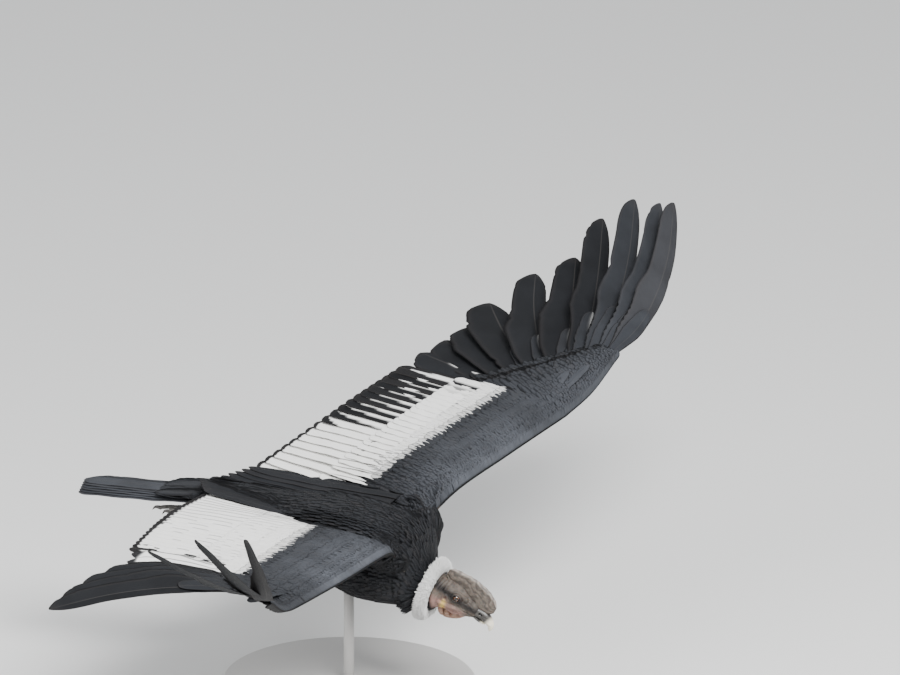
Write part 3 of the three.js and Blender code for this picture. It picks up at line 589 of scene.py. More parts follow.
# widths of the webs of each kind of feather: share of its length, ahead of the shaft, behind it
SECONDARY_SHAPE = [(0, 14, 16), (0.5, 24, 36), (0.95, 22, 33), (1, 20, 30)]
COVERT_SHAPE = [(0, 10, 12), (0.6, 18, 26), (0.93, 17, 25), (1, 15, 21)]
PRIMARY_ROUND = [(0, 10, 14), (0.35, 23, 50), (0.72, 26, 60), (0.92, 25, 44), (1, 18, 26)]
PRIMARY_WAISTED = [(0, 10, 14), (0.3, 22, 48), (0.52, 24, 54), (0.68, 21, 38), (0.92, 19, 31), (1, 14, 20)]
PRIMARY_NOTCHED = [
    (0, 7, 10), (0.22, 15, 38), (0.44, 16, 42), (0.56, 15, 30), (0.84, 14, 28), (0.95, 12, 22), (1, 9, 15),
]
PRIMARY_COVERT_SHAPE = [(0, 9, 12), (0.6, 15, 27), (1, 11, 18)]
SCAPULAR_SHAPE = [(0, 16, 20), (0.5, 22, 26), (1, 15, 18)]
ALULA_SHAPE = [(0, 6, 8), (0.7, 10, 15), (1, 7, 9)]
# share of a blade's length over which it takes up its twist
TWIST_RUN = 0.45


def row_paths(wing, count, chord, root_span, tip_span, lift):
    """Paths of a row of feathers that lie on the wing from one share of its chord to another."""
    t = VANE_AT
    share = np.arange(count)[:, None] / (count - 1)
    along = mix(mix(*root_span, share), mix(*tip_span, share), t)
    return wing_surface(wing, along, mix(*chord, t), lift)


def scapular_paths(wing):
    """Long feathers beside the body: the outermost runs from out on the arm back to the feather line's inner
    end, and each next one lies further in and lower."""
    t = VANE_AT
    j = np.arange(SCAPULAR_COUNT)[:, None]
    along = wing["scapulars_from"] * (1 - 0.8 * j / SCAPULAR_COUNT) * (1 - t) ** 0.9
    paths = wing_surface(wing, along, mix(0.2, 1 + 0.022 * j, t), 7 + 1.5 * j * (1 - t))
    return paths - LEFTWARD * (18 + j * (8 + 9 * t))[..., None] - UP * (3.6 * j * t)[..., None]


def secondary_pale(striped_from, black):
    """White inside a black fringe, but for the innermost ones, which are black. From a share of the row
    outward the white narrows to a stripe that tapers to a point:
    |s - 0.1| < width * ((end - t) / (end - start))^0.6."""
    def pale(k, s, t):
        """How white feather k is at s across its web and t along it."""
        out = k / (SECONDARY_COUNT - 1)
        striped = smooth(striped_from - 0.12, striped_from + 0.08, out)
        further = smooth(striped_from, 1.0, out)
        start = mix(0.935, 0.4, striped)
        end = mix(0.968, mix(0.97, 0.91, further), striped)
        width = mix(1.4, mix(0.85, 0.5, further), striped)
        taper = np.clip((end - t) / (end - start), 0, 1) ** 0.6
        white = 1 - smooth(0.9 * width * taper - 0.02, width * taper + 0.001, np.abs(s - 0.1))
        return white * (k >= black)
    return pale


def covert_pale(k, s, t):
    """White greater coverts, with dark inner webs toward the wrist and a thin dark shaft."""
    out = k / (GREATER_COVERT_COUNT - 1)
    inner_dark = smooth(0.88, 1.0, out) * (1 - smooth(-0.45, -0.3, s))
    return (1 - inner_dark) + 0 * t


def primary_pale(white_count):
    """White inner primaries as far as a count, then a pale streak along the outer web of each."""
    def pale(k, s, t):
        """How white feather k is at s across its web and t along it."""
        reach = np.interp(k, [0, 1, 2, 3, 4, 5, 9], [0.78, 0.66, 0.5, 0.46, 0.42, 0.4, 0.3])
        strength = np.interp(k, [0, 2, 3, 5, 6], [1.0, 0.9, 0.5, 0.4, 0.0])
        width = np.interp(k, [0, 2, 5], [0.4, 0.3, 0.16])
        across = smooth(-0.06, 0.03, s) * (1 - smooth(width - 0.12, width, s))
        streak = strength * across * (1 - smooth(reach - 0.1, reach, t))
        return np.where(k < white_count, 1 - smooth(0.93, 0.95, t + 0 * s), streak)
    return pale


def none_pale(k, s, t):
    """No white."""
    return 0 * (k + s + t)


def painted_tip_highlight(most):
    """Dark coverts with a painted highlight near the tip of each."""
    def pale(k, s, t):
        """How white feather k is at s across its web and t along it."""
        bright = most * np.interp(k, [0, 4, 5, 6, 7], [0.9, 0.8, 0.5, 0.35, 0.0])
        return bright * smooth(0.66, 0.9, t) * smooth(-0.2, 0.0, s) * (1 - smooth(0.2, 0.5, s))
    return pale


def primary_paths(wing, reach=(1.0,) * PRIMARY_COUNT):
    """From the hand to a share of the way to the tip, below the straight line by the sag and ahead of it by
    the bow, both times 4 s (1 - s)."""
    inner = wing_surface(wing, 1, 0.2, -2) + [0, 14, 0]
    outer = np.array(wing["digit"], float) + [-24, -11, -5]
    tips = np.array(wing["tips"], float)
    crowd = (np.arange(PRIMARY_COUNT) / (PRIMARY_COUNT - 1)) ** ROOT_CROWDING
    roots = mix(inner, outer, crowd[:, None])
    s = np.linspace(0, 1, 5)
    bulge = 4 * s * (1 - s)
    ahead, below = np.outer(wing["bow"], bulge), np.outer(wing["sag"], bulge)
    shift = np.stack([ahead, 0 * ahead, -below], -1)
    points = mix(roots[:, None], tips[:, None], s[None, :, None]) + shift
    return np.stack([curve(one, most * VANE_AT) for one, most in zip(points, reach)])


def build_flight_feathers(side, material):
    """Secondaries and primaries of one wing."""
    wing = WINGS[side]
    share = VANE_AT
    out = np.arange(SECONDARY_COUNT) / (SECONDARY_COUNT - 1)
    piece = Piece(f"secondaries_{side}")
    paths = row_paths(wing, SECONDARY_COUNT, (0.3, 1), (0.05, 0.955), (0, 0.985), 0)
    lead, trail = alike(SECONDARY_COUNT, shaped(SECONDARY_SHAPE, share))
    bake = baked(BAKE_WING[side], wing_run(out), 0.99)
    pale = secondary_pale(wing["striped_from"], wing["black_secondaries"])
    roll = -VANE_ROLL * 0.85
    vanes(
        piece, paths, lead, trail, roll, pale, seed=11, bake=bake, hand=wing["hand"],
        splits=2, droop=FLAT_DROOP,
    )
    piece.build(material, "pied_plumage", [f"wing_arm_{side}"])

    piece = Piece(f"primaries_{side}")
    paths = primary_paths(wing)
    shapes = [PRIMARY_ROUND] * WAISTED_FROM + [PRIMARY_WAISTED] * (NOTCHED_FROM - WAISTED_FROM)
    shapes += [PRIMARY_NOTCHED] * (PRIMARY_COUNT - NOTCHED_FROM)
    webs = np.stack([shaped(shape, share, 0.13) for shape in shapes], axis=1)
    spread = smooth(0.3, 0.55, share) * np.ones((PRIMARY_COUNT, 1))
    spread[:NOTCHED_FROM] = 1
    lead, trail = webs * mix(1, np.array(wing["breadths"])[:, None], spread)
    turn = -VANE_ROLL + np.radians(wing["twists"])[:, None] * smooth(0, TWIST_RUN, share)[None]
    k = np.arange(PRIMARY_COUNT)
    # painted sheen: a little on every primary, more on the outer ones of the lit left wing
    sheen = 0.05 + wing["finger_painted_sheen"] * smooth(5.5, 8, k)
    bake = baked(BAKE_WING[side], wing_run(1, k / (PRIMARY_COUNT - 1)), 0.99)
    pale = primary_pale(wing["white_primaries"])
    sheen = sheen[:, None, None]
    vanes(piece, paths, lead, trail, turn, pale, seed=12, bake=bake, hand=wing["hand"], sheen=sheen)
    piece.build(material, "dark_plumage", [f"wing_hand_{side}"])


def build_coverts(side, material):
    """Greater and primary coverts and the alula of one wing."""
    wing = WINGS[side]
    hand = wing["hand"]
    share = VANE_AT
    piece = Piece(f"greater_coverts_{side}")
    count = GREATER_COVERT_COUNT
    paths = row_paths(wing, count, (WHITE_FROM - 0.08, 0.66), (0.015, 0.97), (0.0, 0.985), 3.2)
    lead, trail = alike(count, shaped(COVERT_SHAPE, share, 0.1))
    bake = baked(BAKE_WING[side], wing_run(np.arange(count) / (count - 1)), 0.85)
    vanes(
        piece, paths, lead, trail, -VANE_ROLL, covert_pale, seed=21, bake=bake, hand=hand,
        splits=1, droop=FLAT_DROOP,
    )
    piece.build(material, "pied_plumage")

    piece = Piece(f"scapulars_{side}")
    paths = scapular_paths(wing)
    lead, trail = alike(SCAPULAR_COUNT, shaped(SCAPULAR_SHAPE, share, 0.16))
    bake = baked(BAKE_WING[side], 0.02 * np.arange(SCAPULAR_COUNT), 0.7)
    # a slight painted sheen on the scapulars
    vanes(piece, paths, lead, trail, -VANE_ROLL, none_pale, seed=24, bake=bake, hand=hand, sheen=0.1)
    piece.build(material, "dark_plumage")

    piece = Piece(f"primary_coverts_{side}")
    count = wing["covered_primaries"]
    k = np.arange(count)
    reach = np.linspace(0.56, 0.38, PRIMARY_COUNT)[:count]
    paths = primary_paths(wing, reach)
    lead, trail = alike(count, shaped(PRIMARY_COVERT_SHAPE, share, 0.14))
    twist = np.radians(wing["twists"])[:count, None]
    turn = -VANE_ROLL + twist * smooth(0, TWIST_RUN, share * reach[:, None])
    bake = baked(BAKE_WING[side], wing_run(1, k / (PRIMARY_COUNT - 1)), 0.9)
    # painted sheen of the hand, rising outward, and painted highlights near the coverts' tips
    sheen = wing["hand_painted_sheen"] * np.interp(k, [0, 3, 9], [0.15, 0.35, 0.6])[:, None, None]
    pale = painted_tip_highlight(wing["painted_tip_highlight_strength"])
    vanes(piece, paths, lead, trail, turn, pale, seed=22, bake=bake, lift=4, hand=hand, sheen=sheen)
    wrist, digit = wing_surface(wing, 1, 0.1, 1), np.array(wing["digit"], float)
    outward = unit(digit - wrist)
    k = np.arange(ALULA_COUNT)[:, None]
    roots = wrist + outward * 20 + [-12, 0, 0] + k * [-14, 0, 0]
    tips = roots + outward * [[140], [105]] + [-22, 0, 2] + k * [-8, 0, 0]
    paths = mix(roots[:, None], tips[:, None], share[None, :, None])
    lead, trail = alike(ALULA_COUNT, shaped(ALULA_SHAPE, share, 0.12))
    bake = baked(BAKE_WING[side], wing_run(1, 0.25 * k[:, 0]), 0.6)
    # painted sheen of the hand on the alula
    sheen = wing["hand_painted_sheen"]
    vanes(piece, paths, lead, trail, -VANE_ROLL, none_pale, seed=23, bake=bake, hand=hand, sheen=sheen)
    piece.build(material, "dark_plumage")


# For the arm and the hand: length along it, rows of small feathers, and length of the last row's feathers
# above and beneath and their width
COAT_PARTS = {"arm": (690, 24, 50, 50, 23), "hand": (230, 17, 62, 34, 21)}
FIRST_ROW_LENGTH, FIRST_ROW_WIDTH = 17, 10
ROW_SPACING = 0.42
LAST_ROW_AT = 0.93
# how far past its root a small feather's white begins, as a share of the chord
LEAF_REACH = 0.06


def build_wing_coat(side, material):
    """Rows of small coverts over and under arm and hand, from the leading edge back, growing longer."""
    wing = WINGS[side]
    rng = np.random.default_rng(31)
    for facing, name in ((1, "small_coverts"), (-1, "under_coverts")):
        piece = Piece(f"{name}_{side}")
        for part, (span, rows, longest_above, longest_beneath, widest) in COAT_PARTS.items():
            on_arm = part == "arm"
            place = (arm_place if on_arm else hand_place)(wing, facing, COAT_SLIM)
            for row in range(rows):
                share = (row / (rows - 1)) ** 1.7
                length = mix(FIRST_ROW_LENGTH, longest_above if facing > 0 else longest_beneath, share)
                width = mix(FIRST_ROW_WIDTH, widest, share)
                count = int(span / (width * ROW_SPACING))
                stagger = 0.5 + 0.5 * (row % 2) + rng.uniform(-0.25, 0.25, count)
                along = (np.arange(count) + stagger) / count
                across = share * LAST_ROW_AT + rng.uniform(-0.01, 0.01, count) * (row > 2)
                across = np.clip(across, 0.003, 0.95)
                lean = facing * mix(0.05, 0.5, along if on_arm else 1.0) + rng.normal(0, 0.05, count)
                root, lie, normal = on_surface(place, along, across + 0.003, facing, -lean)
                root, lie, normal = seated(root, lie, normal, 40, wing["hand"])
                run = wing_run(along) if on_arm else wing_run(1, along)
                # painted sheen: lighter toward the arm's leading edge and over the hand, fading backward,
                # none beneath
                arm_lit = (1 - share) ** 1.5 * smooth(-0.05, 0.3, run)
                hand_lit = wing["hand_painted_sheen"] * (1 - 0.65 * share)
                lit = mix(arm_lit, hand_lit, smooth(0.5, 0.72, run))
                white = smooth(-0.025, 0.012, across * FLESH_SHARE + LEAF_REACH - WHITE_FROM)
                white *= (along > wing["white_beyond"]) * (facing > 0 and on_arm)
                leaves(
                    piece, root, lie, normal, length * rng.uniform(0.9, 1.1, count), width,
                    lift=0.035, curl=0.03, pale=white,
                    bake=baked(BAKE_WING[side], run, 0.5 + 0.5 * facing * across),
                    sheen=(0.08 + 0.92 * lit) * (facing > 0), tone=rng.uniform(-1, 1, count),
                    hand=wing["hand"],
                )
        piece.build(material, "dark_plumage")


# ---------------------------------------------------------------------------------------------------------
# Body: one skin over the spine, the wings and the legs, and the coat that grows on it
# ---------------------------------------------------------------------------------------------------------

HEAD_ALONG = np.array([np.cos(HEAD_LEAN), 0, -np.sin(HEAD_LEAN)])
HEAD_UP = np.array([np.sin(HEAD_LEAN), 0, np.cos(HEAD_LEAN)])
RUFF_AXIS = np.array([np.cos(RUFF_LEAN), 0, -np.sin(RUFF_LEAN)])
RUFF_UP = np.array([np.sin(RUFF_LEAN), 0, np.cos(RUFF_LEAN)])

SKULL = [
    # along the head, above its axis, half width, half depth
    [10.3, -10, 34, 38], [22, -4, 31, 35], [40, -3, 28, 33], [60, -4, 24, 28], [78, -3, 18, 20],
    [92, -1, 15, 14], [95, -1, 9, 8],
]
CHEEK_FOLDS = [
    [[14, 30, 14], [30, 27, 18], [46, 22, 20], [62, 17, 15]],
    [[16, 32, -20], [34, 27, -17], [54, 22, -12], [70, 16, -10]],
    [[18, 26, -32], [36, 22, -30], [54, 18, -24]],
]


def head_point(along, side, up):
    """A place in the head's own directions."""
    along, side, up = (np.asarray(a, float)[..., None] for a in (along, side, up))
    return HEAD_ORIGIN + HEAD_ALONG * along + HEAD_UP * up + LEFTWARD * side


def spine_table():
    """Sections from the rump to the front of the skull: x, z, half width, half depth, lean, ten times the
    squareness."""
    rows = [[*section, 10 * TRUNK_SQUARENESS] for section in TRUNK[::-1]]
    for along, radius in ((-12, NECK_RADIUS), (12, NECK_RADIUS - 3)):
        place = RUFF_CENTRE + RUFF_AXIS * along
        rows.append([place[0], place[2], radius, radius, np.degrees(RUFF_LEAN), 20])
    for along, up, wide, deep in SKULL:
        place = head_point(along, 0, up)
        rows.append([place[0], place[2], wide, deep, np.degrees(HEAD_LEAN), 20])
    return np.array(rows)


SPINE = spine_table()
SPINE_SHARES = np.linspace(0, 1, 801)
SPINE_RUN = curve(SPINE, SPINE_SHARES)


def spine_share(x):
    """The share of the spine at a place along the bird."""
    return np.interp(x, SPINE_RUN[:, 0], SPINE_SHARES)


def spine_place(sink):
    """The body's surface, sunk by a depth where it carries a coat, by the share round and the share from the
    skull (0) to the rump (1)."""
    def place(turn, back):
        """Its points."""
        x, z, wide, deep, lean, square = np.moveaxis(curve(SPINE, 1 - np.asarray(back)), -1, 0)
        lean = np.radians(lean)
        up = np.stack([np.sin(lean), 0 * lean, np.cos(lean)], -1)
        centre = np.stack([x, 0 * x, z], -1)
        side = LEFTWARD + 0 * centre
        depth = sink * smooth(100, 60, x)
        turn = np.asarray(turn)[..., None]
        return oblong(centre, side, up, wide - depth, deep - depth, turn, square / 10)[..., 0, :]
    return place


def head_relief(points):
    """Height of the folds, wrinkles and lids over the bare skin, and its colours: how much pink and yellow
    skin there is at each place, and how much painted shade darkens it. Every form is a bell or a step of a
    distance on the head."""
    local = points - HEAD_ORIGIN
    along, side, up = local @ HEAD_ALONG, np.abs(local[..., 1]), local @ HEAD_UP
    place = np.stack([along, side, up], -1)
    on_head = smooth(12, 24, along)
    height = np.zeros(along.shape)

    # large folds of the cheek, each with a furrow beside it
    for fold in CHEEK_FOLDS:
        run = curve(np.array(fold, float), np.linspace(0, 1, 60))
        gap = np.linalg.norm(place[..., None, :] - run, axis=-1).min(axis=-1)
        height += 4.2 * bell(gap, 4.5) - 1.2 * bell(gap - 7, 2.5)

    # fine wrinkles of the face, and coarser rings round the neck
    flow = up * 0.9 + 0.35 * along + 5 * wavy(place, 38, 5)
    fine = np.abs(np.sin(flow * 0.62)) ** 1.5 * (0.5 + 0.5 * wavy(place, 30, 6))
    height += on_head * (1.0 * fine + 0.55 * wavy(place, 7, 7))
    neck = smooth(30, 8, along)
    height += neck * 1.6 * np.abs(np.sin(along * 0.42 + 0.6 * wavy(place, 25, 8)))

    # socket, lids and the ring beyond them
    eye = np.hypot((along - EYE_PLACE[0]) * 0.85, (up - EYE_PLACE[2]) * 1.15)
    height = mix(height, -6.5, 1 - smooth(4.4, 6.2, eye))
    height += 2.9 * bell(eye - 7.6, 1.5) - 1.1 * bell(eye - 10.6, 1.4) + 1.2 * bell(eye - 13, 1.6)

    # ear opening and the line of the mouth
    ear = np.hypot(along - EAR_PLACE[0], up - EAR_PLACE[2])
    height += on_head * (-4.0 * bell(ear, 3.4) + 1.5 * bell(ear - 6, 2.0))
    mouth = bell(up + 9 + 0.05 * (along - 70), 1.1) * smooth(62, 70, along)
    height -= 2.5 * mouth

    # pink throat, yellow streak by the ruff, and painted shade: a dark band through the eye, darker skin up
    # toward the crown, and the mouth's line
    throat = smooth(-4, -16, up) * smooth(80, 60, along)
    pink = throat * (0.7 + 0.3 * wavy(place, 18, 9)) + 0.4 * bell(ear, 8)
    yellow = bell(along - 24 - 2 * wavy(place, 20, 10), 5) * smooth(-4, -12, up)
    band = bell(up - 6 + 0.08 * (along - 43), 8)
    dark = band * (1 + 0.15 * wavy(place, 12, 12)) + 0.25 * smooth(4, 18, up) + 0.5 * mouth
    return height, np.clip(pink, 0, 1), np.clip(yellow, 0, 1), np.clip(dark, 0, 1)


def spine_rings():
    """The rings of head, neck and trunk, fine over the head and coarser under the coat."""
    body_x = np.linspace(SPINE_RUN[0, 0], 88, 70)
    head_x = np.linspace(89, SPINE_RUN[-1, 0], 130)
    back = 1 - spine_share(np.concatenate([body_x, head_x]))[:, None]
    turn = (np.arange(144) / 144)[None] * np.ones_like(back)
    place = spine_place(COAT_DEPTH)
    points = place(turn, back * np.ones_like(turn))
    ahead = np.roll(points, -1, axis=1) - np.roll(points, 1, axis=1)
    normal = unit(np.cross(np.gradient(points, axis=0), ahead))
    outward = points - points.mean(axis=1, keepdims=True)
    normal *= np.sign(np.sum(normal * outward, axis=-1, keepdims=True))
    height, pink, yellow, dark = head_relief(points)
    height *= smooth(94, 112, points[..., 0]) * smooth(SPINE_RUN[-1, 0], SPINE_RUN[-1, 0] - 6, points[..., 0])
    return (points + normal * height[..., None])[None], pink, yellow, dark


def wing_rings(wing):
    """Rings of the arm and the hand in one run from inside the trunk to the tip of the digit."""
    cross = np.array([0.0, 0.03, 0.1, 0.2, 0.34, 0.5, 0.66, 0.82, 1.0])
    along_arm, along_hand = np.linspace(0, 1, 30)[:, None], np.linspace(0.04, 1, 16)[:, None]
    parts = []
    for place_of, along in ((arm_place, along_arm), (hand_place, along_hand)):
        top = place_of(wing, 1, FLESH_SLIM)(along + 0 * cross, cross + 0 * along)
        under = place_of(wing, -1, FLESH_SLIM)(along + 0 * cross[1:], cross[:0:-1] + 0 * along)
        parts.append(np.concatenate([top, under], axis=1))
    return np.concatenate(parts)


# paths of the limbs, and their half widths: share of the path, sideways, upward
SHOULDER_PATH = [[14, 30, -60], [22, 82, -30], [40, 130, 5], [56, 200, 30]]
SHOULDER_SECTIONS = [(0, 34, 40), (0.4, 27, 32), (0.7, 17, 17), (1, 6, 5)]
# way that the shoulder's feathers lie
SHOULDER_LIE = np.array([-0.85, 0.5, 0.0])
LEG_PATH = [HIP, (HIP + ANKLE) / 2 + [0, 4, -6], ANKLE, FOOT]
LEG_SECTIONS = [
    (0, 36, 44), (0.2, 34, 40), (0.4, 22, 26), (0.54, 12, 14), (0.62, 8.5, 9.5), (0.9, 8, 8.5), (1, 9, 9),
]
FEATHERED_TO = 0.56


def limb_rings(points, sections, share, columns):
    """Rings square to a path, with half widths between (share, wide, deep) sections."""
    centre = curve(points, share)
    fine = np.linspace(0, 1, 201)
    along = unit(np.gradient(curve(points, fine), axis=0))
    along = unit(np.stack([np.interp(share, fine, along[:, k]) for k in range(3)], -1))
    side = unit(LEFTWARD - along * along[..., 1:2])
    up = np.cross(along, side)
    at, wide, deep = np.array(sections, float).T
    return ring_of(centre, side, up, np.interp(share, at, wide), np.interp(share, at, deep), columns)


def limb_place(points, sections):
    """A limb's surface by the shares round and along it, between the nearest four points of its rings."""
    rows, columns = 60, 48
    rings = limb_rings(points, sections, np.linspace(0, 1, rows + 1), columns)
    rings = np.concatenate([rings, rings[:, :1]], axis=1)

    def place(turn, share):
        """Its points."""
        row = np.clip(np.asarray(share) * rows, 0, rows - 0.001)
        column = np.mod(turn, 1) * columns
        i, j = row.astype(int), column.astype(int)
        a, b = (row - i)[..., None], (column - j)[..., None]
        before, after = (mix(rings[k, j], rings[k, j + 1], b) for k in (i, i + 1))
        return mix(before, after, a)
    return place


def shoulder_path(wing):
    """From inside the breast out to the arm's leading edge."""
    path = np.array(SHOULDER_PATH, float)
    path[2:] = [wing_surface(wing, a, 0.06) for a in (0.17, 0.34)]
    return path


def fused_mesh(first, others, name):
    """One closed surface from closed meshes, by an exact union."""
    scene = bpy.context.scene.collection
    base = bpy.data.objects.new(name, first)
    scene.objects.link(base)
    helpers = bpy.data.collections.new("joined")
    for mesh in others:
        helpers.objects.link(bpy.data.objects.new("joined_part", mesh))
    union = base.modifiers.new("union", "BOOLEAN")
    union.operation, union.solver = "UNION", "MANIFOLD"
    union.operand_type, union.collection = "COLLECTION", helpers
    graph = bpy.context.evaluated_depsgraph_get()
    whole = bpy.data.meshes.new_from_object(
        base.evaluated_get(graph), preserve_all_data_layers=True, depsgraph=graph,
    )
    base.modifiers.clear()
    base.data = whole
    for part in list(helpers.objects):
        bpy.data.objects.remove(part)
    bpy.data.collections.remove(helpers)
    return base


def limb_mesh(name, region, rings, hand):
    """One limb's own closed mesh, mapped onto its region of the skin's map."""
    limb = Piece(name)
    limb.tubes(rings[None], hand=hand, coated=1.0)
    limb.maps["OFBake"] = [np.stack(baked(region, p[:, 1], p[:, 0]), -1) for p in limb.maps["OFBake"]]
    return limb.mesh()


def build_skin(material):
    """One skin for the head, the neck, the trunk, the wings and the legs, under the coat."""
    rings, pink, yellow, dark = spine_rings()
    spine = Piece("skin")
    spine.tubes(rings, pink=pink, yellow=yellow, dark=dark, coated=smooth(100, 90, rings[..., 0]))
    spine.maps["OFBake"] = [pairs * BAKE_SPINE[2:] for pairs in spine.maps["OFBake"]]
    share = np.linspace(0, 1, 40)
    limbs = []
    for side, wing in WINGS.items():
        shoulder = limb_rings(shoulder_path(wing), SHOULDER_SECTIONS, share, 40)
        leg = limb_rings(LEG_PATH, LEG_SECTIONS, share, 24)
        for part, region, rings in (
            ("wing", BAKE_WING, wing_rings(wing)),
            ("shoulder", BAKE_SHOULDER, shoulder),
            ("leg", BAKE_LEG, leg),
        ):
            limbs.append(limb_mesh(f"skin_{part}_{side}", region[side], rings, wing["hand"]))
    skin = fused_mesh(spine.mesh(), limbs, "skin")
    skin.data.materials.clear()
    skin.data.materials.append(material)
    limb_nodes = [f"{part}_{side}" for part in ("wing_arm", "wing_hand", "leg") for side in WINGS]
    return declared(skin, ["torso", "neck", "head"] + limb_nodes)


# along the bird, length of the feathers there
COAT_LENGTHS = [(-400, 54), (-250, 50), (-50, 42), (40, 30), (84, 18)]
COAT_FROM, COAT_TO = 84.0, -404
# width against length, room sideways against width, and room between rings against length
COAT_WIDTH, COAT_OVERLAP, COAT_STEP = 0.44, 0.44, 0.18
# painted sheen on the feathers of the body and the shoulders
COAT_PAINTED_SHEEN = 0.12


def build_body_coat(material):
    """Feathers of the trunk in staggered rings that lie backward, small behind the ruff and longer over the
    rump: one piece for the back and one for the breast and belly."""
    rng = np.random.default_rng(41)
    back_piece, breast_piece = Piece("back_feathers"), Piece("breast_feathers")
    place = spine_place(COAT_DEPTH)
    x = COAT_FROM
    row = 0
    while x > COAT_TO:
        length = np.interp(x, *zip(*COAT_LENGTHS))
        width = length * COAT_WIDTH
        girth = 2 * np.pi * np.interp(x, SPINE_RUN[:, 0], (SPINE_RUN[:, 2] + SPINE_RUN[:, 3]) / 2)
        count = int(girth / (width * COAT_OVERLAP))
        turn = ((np.arange(count) + 0.5 * (row % 2) + rng.uniform(-0.2, 0.2, count)) / count) % 1
        back = 1 - spine_share(x + rng.uniform(-2, 2, count))
        root, lie, normal = on_surface(place, turn, back, 1, rng.normal(0, 0.06, count))
        root, lie, normal = seated(root, lie, outward_of(root, normal), 45)
        reach, tone = length * rng.uniform(0.85, 1.15, count), rng.uniform(-1, 1, count)
        above = (turn > 0.25) & (turn < 0.75)
        for piece, on in ((back_piece, above), (breast_piece, ~above)):
            leaves(
                piece, root[on], lie[on], normal[on], reach[on], width, lift=0.042, curl=0.03,
                bake=baked(BAKE_SPINE, turn[on], back[on]), tone=tone[on], sheen=COAT_PAINTED_SHEEN,
            )
        x -= length * COAT_STEP
        row += 1
    back_piece.build(material, "dark_plumage")
    breast_piece.build(material, "dark_plumage")


def build_shoulder_coat(side, material):
    """Feathers round the root of the wing, lying backward and outward, between the breast's and the arm's."""
    wing = WINGS[side]
    rng = np.random.default_rng(51)
    piece = Piece(f"shoulder_feathers_{side}")
    place = limb_place(shoulder_path(wing), SHOULDER_SECTIONS)
    rows = 26
    for row in range(rows):
        count = 44 - row // 3
        share = mix(0.3, wing["shoulder_to"], (row + rng.uniform(-0.3, 0.3, count)) / rows)
        turn = (np.arange(count) + 0.5 * (row % 2) + rng.uniform(-0.3, 0.3, count)) / count
        root, _, normal = on_surface(place, turn, share, 1, np.zeros(count))
        lie = unit(SHOULDER_LIE + rng.normal(0, 0.06, root.shape))
        root, lie, normal = seated(root, lie, outward_of(root, normal), 45, wing["hand"])
        leaves(
            piece, root, lie, normal, length=np.interp(share, [0.3, 0.7], [30, 22]), width=13,
            lift=0.035, curl=0.035, bake=baked(BAKE_SHOULDER[side], share, turn % 1),
            sheen=COAT_PAINTED_SHEEN, tone=rng.uniform(-1, 1, count), hand=wing["hand"],
        )
    piece.build(material, "dark_plumage")


def build_leg_coat(side, material):
    """Loose feathers down the thigh, as far as the ankle."""
    wing = WINGS[side]
    rng = np.random.default_rng(61)
    piece = Piece(f"thigh_feathers_{side}")
    place = limb_place(LEG_PATH, LEG_SECTIONS)
    rows = 26
    for row in range(rows):
        count = int(np.interp(row, [0, 14, rows - 1], [34, 26, 14]))
        share = np.full(count, mix(0.02, FEATHERED_TO, row / (rows - 1)))
        turn = (np.arange(count) + 0.5 * (row % 2) + rng.uniform(-0.3, 0.3, count)) / count
        root, lie, normal = on_surface(place, turn, share, 1, rng.normal(0, 0.1, count))
        normal = outward_of(root, normal)
        leaves(
            piece, root - normal * 3, lie, normal, length=np.interp(share, [0, 0.56], [44, 24]), width=15,
            lift=0.16, curl=0.08, bake=baked(BAKE_LEG[side], share, turn % 1),
            tone=rng.uniform(-1, 1, count), hand=wing["hand"],
        )
    piece.build(material, "dark_plumage", [f"leg_{side}"])


# ---------------------------------------------------------------------------------------------------------
# Tail
# ---------------------------------------------------------------------------------------------------------


def tail_place(share, across, drop):
    """A place on the fanned tail: from its root to its tip, out to a side, below its plane."""
    point = mix(TAIL_ROOT, TAIL_TIP, np.asarray(share)[..., None])
    spread = mix(TAIL_ROOT_HALF_SPREAD, TAIL_HALF_SPREAD, share)
    return point + LEFTWARD * (spread * across)[..., None] - UP * np.asarray(drop)[..., None]


